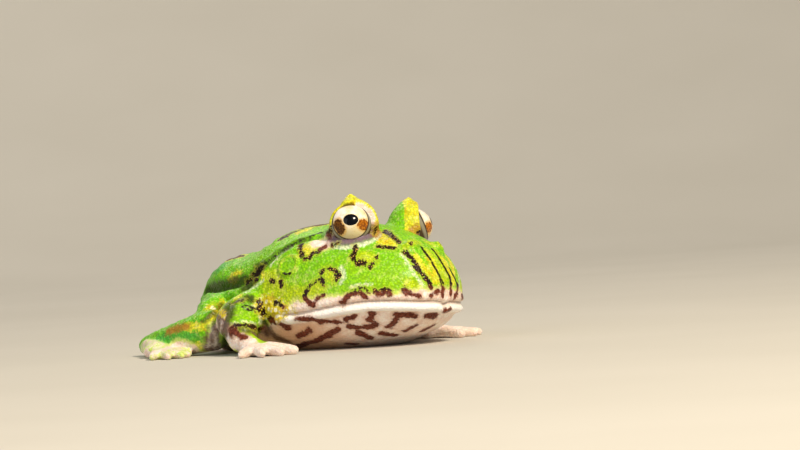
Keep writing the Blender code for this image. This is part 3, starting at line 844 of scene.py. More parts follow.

# %% [markdown]
# ## Brown marks
# Horned frogs are patched like a forest floor, and no two are alike, so no pattern can give their
# markings. They could be painted on an image, but a line with a width can still be moved, widened and
# given another edge. So each mark is such a line, measured in picture pixels and laid on the skin.
# Rust-brown marks with nearly black edges lie over green and cream alike. A few strokes, in creases and
# behind the eye, are painted shade.

# %% Brown marks
BROWN = {
    "cheek hook, upper": (
        4.2, (355.6, 248), (354.7, 253), (353, 256.5), (354.7, 260), (357.9, 264.1), (360, 261.4),
        (365, 264.1),
    ),
    "cheek hook, right end": (
        3.4, (369.9, 267.2), (369.5, 264.6), (373.9, 262.8), (376.6, 261), (376.6, 257.9),
    ),
    "cheek arch": (
        3.4, (321.6, 272.4), (323.8, 269.7), (329.2, 268), (334.6, 270.2), (338.4, 274), (337.3, 278.4),
        (335.2, 281.6),
    ),
    "cheek loop": (
        3.6, (323.2, 285.4), (323.8, 282.2), (321.6, 278.9), (317.3, 281), (311.9, 284.9), (307.5, 288.7),
        (304.8, 294), (304.3, 298.4), (307.5, 302.2), (313, 305), (316.2, 301), (320.5, 297.3),
        (323.2, 295.2),
    ),
    "cheek spot, right": (4.0, (281, 281.7), (281.5, 285.4)),
    "cheek spot, left": (3.6, (271, 281), (273.5, 281)),
    "lip mark under the eye": (
        4.6, (343.1, 302.5), (345.8, 298), (351.2, 294), (357.9, 291.3), (361.4, 293.1), (365, 296.7),
    ),
    "lip dash": (2.8, (361, 288.2), (365, 288.2), (369, 292.6)),
    "lip mark in the middle": (
        5.2, (373.9, 290.4), (378, 293.6), (382.4, 292.7), (383.8, 289.6), (387.8, 290.4), (390.9, 293.6),
        (389.1, 296.3),
    ),
    "lip blotch in front": (6.4, (405, 290.5), (406.5, 293)),
    "lip tail in front": (4.2, (406, 292), (412, 294.5), (418.5, 296)),
    "lip bar": (3.4, (430.2, 295.8), (437.4, 290.7)),
    "snout line 1": (
        4.6, (405.5, 252.4), (411.9, 258.8), (417.6, 269), (424, 276), (428.5, 281.8), (431, 288),
    ),
    "snout line 2, lip end": (3.0, (441.6, 281), (443.8, 288.8), (442.8, 296)),
    "snout line 3, lip end": (2.0, (450.6, 282.5), (450.8, 295.4)),
    "snout line 4, lip end": (2.6, (457.5, 286), (457.2, 291.5), (454.6, 297.5)),
    "line over the brow patch": (3.4, (385, 231), (391, 235.5), (399.4, 242.8)),
    "line under the brow patch": (2.8, (378.8, 246.3), (382.4, 247.6), (386.9, 247.1), (393.6, 248.5)),
    "corner in front of the eye": (2.0, (375.4, 225), (375.8, 230), (374.8, 234.5)),
    "edge of the patch behind the eye": (
        3.2, (300.5, 244), (301, 252), (304, 259), (309, 258), (313, 253), (318, 252.5), (321, 248),
        (324, 247),
    ),
    "fold end": (3.2, (262, 268), (257, 276), (256, 281)),
    "stroke behind the eye": (2.6, (332.5, 245), (338, 243)),
    "mouth corner, upper": (3.2, (275.2, 302.8), (280, 304), (283, 306)),
    "mouth corner, left": (4.4, (259, 301), (260.5, 306), (258, 312)),
    "under the mouth corner": (4.6, (270.5, 319.5), (273, 320.5)),
    "throat, far back": (5.2, (284, 325), (287, 326)),
    "throat, long bar": (3.8, (295.8, 319), (316.4, 320.3), (340.6, 322.7)),
    "throat, second bar": (3.8, (310.3, 330.6), (298.2, 336.6)),
    "throat, slanting bar": (4.2, (338.2, 329.4), (321.2, 339), (298.2, 346.3)),
    "throat, short bar": (4.2, (353.9, 316), (345.4, 319.7)),
    "throat, hook": (4.4, (372, 312.4), (369.7, 319.7), (375.7, 324.5), (369.7, 327), (347.9, 327)),
    "throat, cross": (4.8, (396.3, 313.6), (405, 314.5), (414.5, 316.6)),
    "throat, stem": (4.2, (398.7, 314.8), (394, 322), (389, 327)),
    "throat, spot in front": (4.6, (426.5, 316), (435.3, 315.4)),
    "throat, last spot": (4.2, (446.4, 311), (448, 311.4)),
    "throat, low dash 1": (3.4, (406, 330.6), (415.7, 325.7)),
    "throat, low dash 2": (3.2, (423, 330.6), (432.7, 325.7)),
    "throat, low dash 3": (4.0, (381.8, 333.6), (395.1, 335.4)),
    "throat, low dash 4": (4.4, (358.8, 333), (369.7, 337.8)),
    "throat, low dash 5": (3.6, (347.9, 343.9), (355.1, 343.9)),
    "arm, band": (3.0, (230.7, 328.2), (234, 325.5), (243.2, 324.4), (253, 327), (260.5, 329)),
    "arm, blotch": (5.0, (232, 330), (237, 334)),
    "arm, low blotch": (4.2, (239, 336), (245, 337)),
    # Painted shade: this stroke and the next darken the creases at the end of the fold and above the arm
    "shade at the end of the fold": (3.0, (247, 285), (254, 277.5), (257, 270)),
    "above the arm": (2.4, (235, 302), (243, 299.5)),
    # Painted shadow: the dark patch behind the eye, where shadow falls
    "painted shadow behind the eye": (3.8, (331, 227), (329, 233), (329.5, 238)),
    "nostril": (2.2, (410, 244), (411.8, 243.4), (413.6, 243)),
    "back edge": (4.6, (281, 238.5), (290, 233.5), (300, 229.5), (311, 226.5)),
    "front of the shoulder": (3.4, (262.5, 303), (264, 309), (262, 314)),
}
print(len(BROWN), "brown marks are measured in the picture")

# %% [markdown]
# ## Thin lines and painted shade in the folds
# The snout carries hair-thin dark lines. Hairlines of the same colour are drawn in the fold behind the eye,
# under the eardrum and in the creases of the arm, and deep folds are painted darker than the skin round
# them: both are painted shade where the folds hold shadow, and only the band on the arm is its own dark
# colour. A shader could find hollows by itself, but it would darken them all alike, so both are lines as
# the marks are.

# %% Thin lines
THIN = {
    "snout line 2": (
        1.8, (421.5, 247.3), (424.6, 251.8), (430.4, 259.4), (434.2, 266.5), (439.3, 275.4),
        (442.2, 282.4),
    ),
    "snout line 3": (
        1.8, (432.3, 249.2), (436.1, 253.7), (440.6, 260.7), (445.7, 269.6), (449.5, 276), (450.8, 283.7),
    ),
    "snout line 4": (1.6, (449.5, 268.4), (455.3, 279.2), (457.5, 285.6)),
    # Painted shade: these lines lie in the crease under the eardrum, the fold behind the eye and the
    # creases of the arm
    "eardrum crease": (1.8, (283, 273), (286.5, 274.3), (290.5, 273)),
    "fold": (
        2.2, (300, 241), (294.5, 243.5), (287, 248), (280, 252.5), (270, 260), (262, 266.5), (257, 272),
    ),
    "fold, front": (1.6, (321, 232.5), (312, 235.5), (304, 239), (300, 241)),
    "upper crease of the arm": (1.6, (239, 307), (247, 305.5), (255, 308)),
    "lower crease of the arm": (1.4, (243, 309.5), (249, 310.5), (253, 310)),
}
print(len(THIN), "thin lines")

# %% Painted shade in the folds
# Painted shade: soft dark strokes in creases and hollows, where shadow falls; the arm band is also the
# arm's own dark band
SHADE = {
    "under the hump": (6.0, (207, 290), (216, 287.5), (226, 286), (236, 283.5), (246, 279)),
    "under the flank": (3.0, (212, 313), (220, 318), (228, 322)),
    "fold": (3.0, (310, 238), (294, 243), (280, 252), (269, 261)),
    "shade at the end of the fold": (7.0, (264, 264), (258, 272), (252, 281), (244, 288)),
    "above the arm": (5.0, (232, 304), (238, 300), (246, 298.5), (252, 301)),
    "behind the arm": (7.0, (229, 309), (226, 322), (225, 336), (226, 348)),
    "groin, first stripe": (2.4, (220, 317), (218, 332), (219, 349)),
    "groin, second stripe": (2.4, (214, 322), (212, 335), (212, 350)),
    "groin, third stripe": (2.0, (208, 328), (206, 340), (206, 350)),
    "over the thigh": (4.0, (203, 321), (213, 313), (222, 306)),
    "arm band": (7.0, (232, 330.5), (240, 328.5), (250, 329.5), (259, 332)),
    "front of the arm": (4.6, (262, 306), (264, 316), (264.5, 326), (267, 334)),
    "below the cheek": (4.0, (265, 322), (269, 331), (277, 338), (288, 342)),
}
print(len(SHADE), "folds with painted shade")

# %% [markdown]
# ## From strokes to distances
# The right side of the frog is seen and the left side isn't. Real markings are much alike on both sides,
# except over the middle line. So every stroke is mirrored, apart from those of the snout and the front of
# the throat. What is kept for each point is its distance from the nearest stroke, in millimetres, so a
# shader can still make the edge soft, ragged or haloed.

# %% The strokes that are not mirrored
ONE_SIDED = (
    "snout line 1",
    "snout line 2",
    "snout line 3",
    "snout line 4",
    "snout line 2, lip end",
    "snout line 3, lip end",
    "snout line 4, lip end",
    "lip bar",
    "throat, spot in front",
    "throat, last spot",
    "throat, low dash 1",
    "throat, low dash 2",
    "throat, low dash 3",
    "throat, cross",
)


def coverage(strokes):
    """How far each point is from the nearest of some strokes of the picture, on both sides of the frog."""
    result = np.full(len(hide.places), FAR)
    for name, (width, *line) in strokes.items():
        half = width / 2 / PIXELS_PER_MM
        laid, twin = both_sides(seen(line))
        result = np.minimum(result, distance(laid, half))
        if name not in ONE_SIDED:
            result = np.minimum(result, distance(twin, half))
    return result


stored = {"brown": coverage(BROWN), "thin": coverage(THIN), "shade": coverage(SHADE)}
print("brown marks cover", int((stored["brown"] < 0).sum()), "points")

# %% [markdown]
# ## Blotches on the back and legs
# The back and legs are hardly seen in the picture. Horned frogs have two uneven rows of blotches down the
# back and bars across the legs, so these are set in that order. They could be left to noise, but
# noise makes no rows. They are given as forward and left, and dropped on the skin from above.

# %% Brown blotches on the back and legs
BLOTCHES = {
    "between the eyes": (1.5, (17.5, -3.2), (16.2, -0.5), (17.2, 3.0)),
    "nape, right": (2.2, (9.5, -3.0), (6.5, -4.0), (4.5, -3.0)),
    "nape, left": (2.6, (9.0, 5.0), (6.0, 6.2), (3.0, 5.2)),
    "back, right 1": (2.4, (-0.5, -4.6), (-3.5, -3.6)),
    "back, left 1": (2.8, (-0.5, 7.2), (-3.5, 7.0), (-5.5, 4.6)),
    "back, right 2": (2.4, (-9.5, -4.0), (-12.0, -3.2)),
    "back, left 2": (2.8, (-9.5, 6.4), (-12.5, 4.6)),
    "rump": (1.8, (-15.5, -1.6), (-16.6, 0.8)),
    "middle spot 1": (1.3, (1.5, 0.4), (0.4, 1.2)),
    "middle spot 2": (1.2, (-7.0, 0.9), (-8.2, 0.6)),
    "flank, left": (1.6, (-1.5, 12.0), (-4.5, 11.6)),
    "thigh, left": (1.5, (-10.5, 12.2), (-7.0, 13.8)),
    "knee, left": (1.3, (-5.0, 18.3), (-6.0, 15.2)),
    "shank, right": (1.5, (-11.0, -16.8), (-11.6, -14.2)),
    "shank, left": (1.5, (-11.5, 19.2), (-11.2, 14.6)),
    "ankle, right": (1.2, (-16.8, -15.8), (-17.2, -13.8)),
    "ankle, left": (1.2, (-17.0, 17.8), (-17.4, 14.2)),
    "upper arm, left": (1.2, (5.2, 14.6), (6.8, 16.8)),
    "forearm, left": (1.2, (9.0, 16.8), (9.6, 19.8)),
}
NO_BLOTCH_BELOW = (1.5, 2.5)
blotch_away = np.full(len(hide.places), FAR)
for width, *line in BLOTCHES.values():
    blotch_away = np.minimum(blotch_away, distance(dropped(line), width / 2))
low_places = 1 - fade_in(hide.places[:, 2] / MM, *NO_BLOTCH_BELOW)
stored["blotch"] = blotch_away + FAR * low_places
print("blotches cover", int((stored["blotch"] < 0).sum()), "points")

# %% [markdown]
# ## Yellow, lemon and pale places
# Yellow lies behind and in front of the eye and in bands down the snout, lemon green in the loops of the
# cheek marks and at its base, and pale fringes edge the marks and folds. Some pale strokes, over the lip,
# beside the first snout line and beside the cheek arch, are painted highlights where the skin catches
# light.
# They grade into each other on the real skin, so they are wide strokes with soft ragged edges, and the
# shader lays them one over another.

# %% Yellow places
YELLOW = {
    "hump": (3.0, (232, 275), (240, 273)),
    "patch behind the eye": (9.0, (304, 250), (310, 251)),
    "patch in front of the eye": (9.0, (381, 236), (389, 243)),
    "snout line 1, band beside it": (5.4, (415.7, 256.9), (426, 270), (437.4, 281.1)),
    "snout line 3, band beside it": (4.4, (443.8, 260), (449, 270), (453.3, 281)),
    "band to the leg": (5.0, (223, 302), (219, 311), (211, 320), (200, 327)),
    "band over the arm": (2.6, (240, 296), (231, 303)),
    "hump's edge": (4.0, (230, 281), (236, 279)),
    "fold's end": (3.0, (262, 272), (263, 277)),
    "leg band": (5.5, (186, 327), (195, 326), (205, 328)),
    "thigh's lower end": (6.0, (200, 346), (207, 350)),
    "back edge": (5.0, (300, 232), (308, 229)),
}
print(len(YELLOW), "yellow places")

# %% Lemon green places
LEMON = {
    "in the cheek loop": (11.0, (313, 293), (319, 286)),
    "in the cheek arch": (8.0, (329, 275), (332, 277)),
    "in the cheek hook": (9.0, (362, 256), (370, 258)),
    "cheek base": (14.0, (272, 290), (290, 296), (305, 296)),
    "wrist": (7.0, (251, 333), (260, 339), (266, 345)),
    "arm core": (4.0, (241, 329), (246, 331)),
    "snout line 2, band beside it": (4.6, (428, 252), (438, 266), (446, 280)),
    "front cheek": (9.0, (410, 283), (416, 286)),
    "flank": (3.0, (206, 309), (214, 304)),
    "nostril": (5.0, (405, 246), (411, 243), (416, 242)),
    "corner of the mouth": (14.0, (266, 300), (273, 306), (280, 311)),
    "below the ear drum": (12.0, (268, 280), (276, 284)),
}
print(len(LEMON), "lemon green places")

# %% Pale places and painted highlights, teal and painted shade, rusty and granular places
PALE_AND_HIGHLIGHTS = {
    # Painted highlights: the fringe over the lip, the pale edge of snout line 1 and the strip beside the
    # cheek arch; the other strokes are pale fringes of the skin
    "fringe over the lip": (1.8, (352, 287), (360, 284.8), (372, 284)),
    "snout line 1, pale edge": (2.4, (402, 255), (409, 264), (415, 275), (423, 285)),
    "beside the cheek arch": (3.6, (341, 268), (344, 275), (341, 282)),
    "fold's lower lip": (1.6, (292, 246), (280, 255), (271, 264)),
    "shoulder's edge": (1.6, (263, 281), (255, 287), (246, 292)),
    "arm crease": (2.2, (231, 324), (243, 321.5), (256, 324.5)),
    "front of the arm": (2.4, (256, 304), (260, 313), (261.5, 323)),
    "granules at the corner": (2.4, (281, 304), (286, 309)),
}
TEAL_AND_SHADE = {
    # Painted shade on the shank, drawn as teal; the hump's end is teal in its own colour
    "shank": (7.0, (150, 343), (165, 338), (180, 336), (194, 337)),
    "hump's end": (8.0, (214, 268), (222, 266)),
}
RUSTY = {
    "leg spot": (5.0, (168, 331), (178, 327.5), (188, 326)),
    "corner in front of the eye": (5.0, (377.5, 225), (378, 230), (376.5, 236)),
}
STRIPE = {
    "wrist": (5.0, (247, 332), (253, 335), (259, 339), (263, 342)),
}
OVER_CREAM = {
    "corner of the mouth": (12.0, (266, 306), (273, 311), (281, 315)),
    "lip at the corner": (4.0, (279, 303), (287, 308), (293, 311)),
    "flank": (2.0, (209, 307), (216, 310), (224, 315)),
}
strokes = {"yellow": YELLOW, "lemon": LEMON, "pale": PALE_AND_HIGHLIGHTS, "teal": TEAL_AND_SHADE, "rusty": RUSTY, "stripe": STRIPE}
strokes["over"] = OVER_CREAM
for name, marks in strokes.items():
    stored[name] = coverage(marks)
print("yellow covers", int((stored["yellow"] < 0).sum()), "points")

# %% [markdown]
# ## Cream below, green above
# Lips, throat, belly, hands and feet are bare and cream. Their border is a line round the body, not a
# stroke: on the head it rises from the corner of the mouth over the upper lip, and behind the shoulders
# it runs low along the flank. So its height is given for each place forward, and a point's distance from
# it takes the same scale as the strokes have.

# %% Cream parts
CREAM_FORWARD = (2.0, 6.0, 9.5, 12.0, 18.0, 24.0, 30.0, 34.0)
CREAM_UP = (3.2, 3.8, 5.6, 6.9, 7.4, 7.2, 6.9, 7.6)
FLANK_CREAM_UP = 3.2
BEHIND_SHOULDERS = (0.0, 4.0)
LIMB_SPAN = 4.2
HAND_BLENDING = 10
FOOT_BLENDING = 6
FOOT_SHARE = 0.70
UNDERSIDE_UP = (0.5, 2.0)
UNDERSIDE_SHARE = 0.72
CREAM = {
    "groin": (9.0, (221, 318), (215, 331), (213, 348)),
    "behind the eye": (7.0, (317, 243), (325, 244)),
    "back of the arm": (7.0, (224, 326), (227, 335), (232, 345)),
    "elbow": (6.0, (232, 335), (236, 342), (240, 348)),
    "foot's edge": (5.0, (140, 358), (158, 351), (172, 347), (185, 344.5), (192, 347), (195, 353)),
}
edge_up = np.interp(forward, CREAM_FORWARD, CREAM_UP)
cream_away = (up - edge_up) * trunk + FAR * (1 - trunk)
behind = fade_out(forward, *BEHIND_SHOULDERS) * trunk
cream_away = cream_away * (1 - behind) + (up - FLANK_CREAM_UP) * behind
hands = hide.spread(is_part("hand_left", "hand_right"), HAND_BLENDING)
feet = hide.spread(is_part("foot_left", "foot_right"), FOOT_BLENDING)
underside = 1 - fade_in(hide.places[:, 2] / MM, *UNDERSIDE_UP)
bare = np.maximum(np.maximum(hands, FOOT_SHARE * feet), UNDERSIDE_SHARE * underside)
cream_away = np.where(limbs > 0.5, FAR - LIMB_SPAN * bare, cream_away)
cream_away = np.minimum(cream_away, coverage(CREAM))
print("cream covers", int((cream_away < 0).sum()), "points")

# %% [markdown]
# ## Colours of the lids and the eardrum
# The upper lid is yellow with a cream part towards the nose and a brown line on the eye, the bag under
# the ball is mauve with a pale rim, and the eardrum has a lemon ring. Strokes would miss the lids on the
# far side, so these colours follow the angles round each eye.

# %% Colour the upper lids
# Pairs are shares upward or nosewards, or degrees past the opening. A colour is full where its distance is
# below 0, so a start and a span turn a share of it into such a distance.
UPPER_SIDE = (-0.25, 0.15)
UPPER_DEG = (34.0, 46.0)
YELLOW_START = 1.0
YELLOW_SPAN = 2.6
CREAM_SIDE = (0.15, 0.4)
CREAM_DEG = (4.0, 6.5)
CREAM_START = 1.0
CREAM_SPAN = 2.0
LINE_FROM = 0.1
LINE_SIDE = (0.30, 0.75)
LINE_SIDE_DEG = 14.0
LINE_NOSE = (0.15, 0.55)
LINE_NOSE_DEG = 9.0
NO_LID_DEG = 30.0
lid_line = np.full(len(hide.places), NO_LID_DEG)
for near_lid, past, high_share, nose_share, _ in lids:
    upper = fade_in(high_share, *UPPER_SIDE) * near_lid * fade_out(past, *UPPER_DEG)
    stored["yellow"] = np.minimum(stored["yellow"], YELLOW_START - YELLOW_SPAN * upper)
    cream_part = upper * fade_in(nose_share, *CREAM_SIDE) * fade_out(past, *CREAM_DEG)
    cream_away = np.minimum(cream_away, CREAM_START - CREAM_SPAN * cream_part)
    # The line thins out at both ends: there its angle is counted as larger than it is
    beside = LINE_SIDE_DEG * (1 - fade_in(high_share, *LINE_SIDE))
    beside = beside + LINE_NOSE_DEG * fade_in(nose_share, *LINE_NOSE)
    on_lid = near_lid & (high_share > LINE_FROM)
    lid_line = np.minimum(lid_line, np.where(on_lid, past + beside, NO_LID_DEG))
print("the line of the upper lids covers", int((lid_line < 4.6).sum()), "points")

# %% Colour the bags under the eyes and the rings of the eardrums
MAUVE_SIDE = (-0.25, 0.1)
MAUVE_REACH = (4.65, 4.95)
RIM_SIDE = (-0.4, -0.1)
RIM_OUT = 0.45
RIM_WIDTH = 0.45
RIM_START = 0.6
RIM_SPAN = 1.2
RING_START = 0.10
mauve = np.zeros(len(hide.places))
for _, _, high_share, _, away in lids:
    mauve = np.maximum(mauve, fade_out(high_share, *MAUVE_SIDE) * fade_out(away, *MAUVE_REACH))
    pale_rim = fade_out(high_share, *RIM_SIDE) * hill(np.abs(away - BAG_RADIUS - RIM_OUT), RIM_WIDTH)
    stored["pale"] = np.minimum(stored["pale"], RIM_START - RIM_SPAN * pale_rim)
for place in (drum_place, mirrored(drum_place)):
    ring_away = np.abs(hide.away_from(place) - EARDRUM_RADIUS)
    stored["lemon"] = np.minimum(stored["lemon"], ring_away + RING_START)
print("mauve covers", int((mauve > 0.5).sum()), "points")

# %% [markdown]
# ## What the shader reads
# A shader knows nothing of mouths and eyes. It could be given masks as images, but values that are stored
# at the points of the skin move with it and need no map. Besides the distances it gets a few shares from
# 0 to 1: spring green on the crown and back, painted shade in the slit, the white lower lip and the tan
# throat, which is partly painted shade under the chin.

# %% Spring green, white lip, tan throat with painted shade and painted shade in the slit
CROWN_UP = (10.0, 16.0)
CROWN_SHARE = 0.5
BACK_FORWARD = (-6.0, 5.0)
BACK_SHARE = 0.95
SPRING_BLENDING = 12
WHITE_REACH = (1.5, 3.0)
WHITE_TOP = (-0.15, 0.1)
WHITE_FOOT = (-2.0, -1.5)
TAN_SHADE_UP = (-2.6, -1.0)
TAN_SHADE_FORWARD = (13.0, 23.0)
SLIT_SHADE_WIDTH = 0.55
crown = trunk * fade_in(up, *CROWN_UP) * CROWN_SHARE
spring = np.maximum(crown, fade_out(forward, *BACK_FORWARD) * BACK_SHARE)
stored["spring"] = hide.spread(spring, SPRING_BLENDING)
white_lip = fade_out(slit_away, *WHITE_REACH) * fade_out(above_mouth, *WHITE_TOP)
stored["white"] = white_lip * fade_in(above_mouth, *WHITE_FOOT)
# Tan on the low, rear part of the throat: partly the throat's own tan, partly painted shade under the chin
stored["tan"] = trunk * fade_out(above_mouth, *TAN_SHADE_UP) * fade_out(forward, *TAN_SHADE_FORWARD)
# Painted shade in the slit of the mouth, darkest on its line
stored["slit"] = hill(slit_away, SLIT_SHADE_WIDTH)
print("the white lip covers", int((stored["white"] > 0.5).sum()), "points")

# %% Store the values on the skin
stored["cream"] = np.clip(cream_away, -FAR, FAR)
stored["mauve"] = hide.spread(mauve, 1)
stored["lid_line"] = lid_line
for name, values in stored.items():
    hide.keep(name, values)
print(len(stored), "values are stored for", len(hide.places), "points")

# %% [markdown]
# ## Nodes
# A finish is colour, roughness and relief, and here it differs from one tenth of a millimetre to the
# next. It could be painted on images, but nodes hold at any size and need none. One small function adds a
# node, sets it and links what it is given, and the colours are written as sRGB hex codes, as a colour
# picker shows them.


# %% The function that adds a node
def add(tree, kind, inputs=(), **settings):
    """Adds a node, applies its settings, and sets or links its inputs, named or numbered."""
    made = tree.nodes.new("ShaderNode" + kind)
    for key, value in settings.items():
        setattr(made, key, value)
    for key, value in dict(inputs).items():
        if isinstance(value, bpy.types.NodeSocket):
            tree.links.new(value, made.inputs[key])
        else:
            made.inputs[key].default_value = value
    return made


def new_material(name):
    """An empty node material, with its tree and its Principled shader."""
    made = bpy.data.materials.new(name)
    made.use_nodes = True
    return made, made.node_tree, made.node_tree.nodes["Principled BSDF"]


def per_mm(size):
    """The scale at which a texture's features are so many millimetres apart."""
    return 1.0 / (size * MM)


print("features 0.44 mm apart need the scale", round(per_mm(0.44)))


# %% Colours
def linear(code):
    """An sRGB colour written as hex, turned to the linear colour that a shader reads."""
    parts = [int(code[i : i + 2], 16) / 255 for i in (1, 3, 5)]
    return tuple(p / 12.92 if p <= 0.04045 else ((p + 0.055) / 1.055) ** 2.4 for p in parts) + (1.0,)


def colour_of(given):
    """A hex code as a linear colour; a colour that other nodes have made stays as it is."""
    return linear(given) if isinstance(given, str) else given


print("leaf green is", [round(part, 2) for part in linear("#98d600")])

# %% [markdown]
# ## Layers of colour
# A frog's colours lie in layers of cells: yellow ones over ones that reflect blue, with black ones below.
# They could be mixed in one long formula, but a stack of layers can be read, and changed, one at a time.
# Each layer has a name, a colour, the value that it follows, the soft edge over which it goes from none
# to full, and its strength. Living marks never end in a clean line, so noises break up the values at
# their edges.

# %% Layers and broken edges
EVENLY = (0.0, 1.0)


def layered(tree, under, layers):
    """Lays colours over one another, each where its value says; a share is followed evenly."""
    for name, (over, value, edge, strength) in layers.items():
        limits = {"Value": value, "From Min": edge[0], "From Max": edge[1], "To Max": strength}
        way = "LINEAR" if edge == EVENLY else "SMOOTHSTEP"
        share = add(tree, "MapRange", limits, interpolation_type=way).outputs["Result"]
        # On a colour mix these sockets are the share, the first colour and the second one
        colours = {0: share, 6: colour_of(under), 7: colour_of(over)}
        under = add(tree, "Mix", colours, data_type="RGBA", label=name).outputs[2]
    return under


def broken_up(tree, value, noise, by, less):
    """Adds so much of a noise to a value, less about as much as the noise is on average."""
    scaled = add(tree, "Math", {0: noise, 1: by, 2: -less}, operation="MULTIPLY_ADD").outputs[0]
    return add(tree, "Math", {0: value, 1: scaled}, operation="ADD").outputs[0]


print("a layer that is followed evenly has the edge", EVENLY)

# %% [markdown]
# ## Frog skin
# The real surface is thin living skin, wet with slime. It is granular and shines softly on every grain,
# and a little light goes through it. Its grains could be shaped as the warts are, but at 0.44 mm they are
# hardly wider than the faces of the skin, so a bump gives them. To the eye it looks moist, soft and
# fine-grained, with broad dull glints.

# %% Noises and grains of the skin
# All in millimetres
WIDE_CLOUDS = 5.0
CLOUDS = 1.3
FLECKS = 0.40
GRAIN = 0.44
BEAD = 0.75
wet_skin, tree, shader = new_material("wet_granular_frog_skin")
space = add(tree, "TexCoord").outputs["Object"]
wide = add(tree, "TexNoise", {"Vector": space, "Scale": per_mm(WIDE_CLOUDS), "Detail": 3.0}).outputs["Fac"]
medium = add(tree, "TexNoise", {"Vector": space, "Scale": per_mm(CLOUDS), "Detail": 3.0}).outputs["Fac"]
fine = add(tree, "TexNoise", {"Vector": space, "Scale": per_mm(FLECKS), "Detail": 2.0}).outputs["Fac"]
grain_cells = {"Vector": space, "Scale": per_mm(GRAIN), "Smoothness": 0.35}
grains = add(tree, "TexVoronoi", grain_cells, feature="SMOOTH_F1").outputs["Distance"]
bead_cells = {"Vector": space, "Scale": per_mm(BEAD)}
beads = add(tree, "TexVoronoi", bead_cells, feature="SMOOTH_F1").outputs["Distance"]
read = {name: add(tree, "Attribute", attribute_name=name).outputs["Fac"] for name in stored}


def ragged(name, by_fine, by_medium):
    """A stored distance whose edge is broken up by fine and medium noise, in millimetres."""
    once = broken_up(tree, read[name], fine, by_fine, by_fine / 2)
    return broken_up(tree, once, medium, by_medium, by_medium / 2)


print("the shader reads", len(read), "stored values")

# %% Greens and yellows
# Painted shade: the gaps between the grains are painted darker, as shaded hollows
GRAIN_GAP_SHADE = (0.30, 0.62)
LEAF_GREEN = "#98d600"
FRESH_YELLOW = "#f4ee2c"
greens = layered(tree, LEAF_GREEN, {
    "spring green above": ("#60c80c", read["spring"], EVENLY, 1.0),
    "fresh green clouds": ("#84d808", wide, (0.40, 0.62), 0.60),
    "yellow-green clouds": ("#b4e40c", medium, (0.45, 0.75), 0.55),
    # Teal: the hump's own teal, and painted shade on the shank
    "teal": ("#3fb54e", ragged("teal", 0.8, 1.6), (1.2, -0.6), 0.70),
    "lemon green": ("#c8e00a", ragged("lemon", 1.6, 1.6), (0.9, -0.5), 1.0),
})
yellows = layered(tree, FRESH_YELLOW, {
    "deep yellow clouds": ("#eec31a", medium, (0.48, 0.72), 1.0),
})
green_parts = layered(tree, greens, {
    "yellow places": (yellows, ragged("yellow", 2.0, 1.2), (0.45, -0.35), 1.0),
    # Pale fringes, some of them painted highlights
    "pale fringes": ("#eefad0", ragged("pale", 1.6, 0.8), (0.35, -0.30), 1.0),
    "painted shade between the grains": ("#3a7406", grains, GRAIN_GAP_SHADE, 0.39),
    "pale lemon beside the cream": ("#eef08a", ragged("cream", 1.0, 1.6), (1.1, 0.2), 0.70),
})
print("the green parts are done,", len(tree.nodes), "nodes so far")

# %% Creams
CREAM_EDGE = (0.35, -0.25)
WARM_CREAM = "#f6dccb"
creams = layered(tree, WARM_CREAM, {
    "milky clouds": ("#fff4ea", medium, (0.35, 0.70), 1.0),
    # Tan throat: partly its own tan, partly painted shade under the chin
    "tan throat": ("#dca877", read["tan"], EVENLY, 0.80),
    "rose painted shade between the grains": ("#c79a80", grains, GRAIN_GAP_SHADE, 0.18),
    "white lower lip": ("#fffaf3", read["white"], EVENLY, 1.0),
})
cream_edge = ragged("cream", 1.0, 1.6)
print("the creams are done,", len(tree.nodes), "nodes so far")

# %% Painted shade in the folds, granules and the bag under the eye
OLIVE_SHADE = "#33300c"
PEARL = "#fbf4cf"
# Painted shade for the folds: olive over green, red-brown over cream
shades = layered(tree, OLIVE_SHADE, {
    "red-brown where it is cream": ("#4c2814", cream_edge, CREAM_EDGE, 1.0),
})
granules = layered(tree, PEARL, {
    "yellow sides": ("#dcc820", beads, (0.22, 0.42), 1.0),
    "olive gaps": ("#a08a1c", beads, (0.50, 0.65), 0.70),
})
plain_skin = layered(tree, green_parts, {
    "cream parts": (creams, cream_edge, CREAM_EDGE, 1.0),
    "green stripe on the wrist": ("#aed81c", ragged("stripe", 1.0, 1.4), (0.3, -0.3), 1.0),
    # Painted shade in the folds and hollows
    "folds with painted shade": (shades, ragged("shade", 0.8, 1.4), (0.8, -0.4), 0.86),
    "granules": (granules, ragged("over", 2.0, 2.0), (0.7, -0.5), 1.0),
    "mauve bag under the eye": ("#7c5f74", read["mauve"], EVENLY, 0.95),
    "rusty places": ("#b07024", ragged("rusty", 1.2, 1.6), (0.6, -0.6), 0.85),
})
print("the skin without its marks is done,", len(tree.nodes), "nodes so far")

# %% [markdown]
# ## The colours of the marks
# On green a mark is nearly black with gold grains, partly gold flecks and partly a painted highlight on
# the tops of the grains, and its edge follows the grain of the skin, while on cream it is rust with a
# smooth edge. Blotches of the back have a dark edge and a yellow-green rim. One brown for all would look
# like paint, so each kind of mark has layers of its own, from the outside in.

# %% Brown marks on green and on cream
DARK_RUST = "#521f0e"
NEAR_BLACK = "#241004"
fleck_limits = {"Value": fine, "From Min": 0.40, "From Max": 0.52}
flecked = add(tree, "MapRange", fleck_limits, interpolation_type="SMOOTHSTEP").outputs["Result"]
rust = layered(tree, DARK_RUST, {
    "lighter flecks": ("#83402a", fine, (0.30, 0.75), 1.0),
})
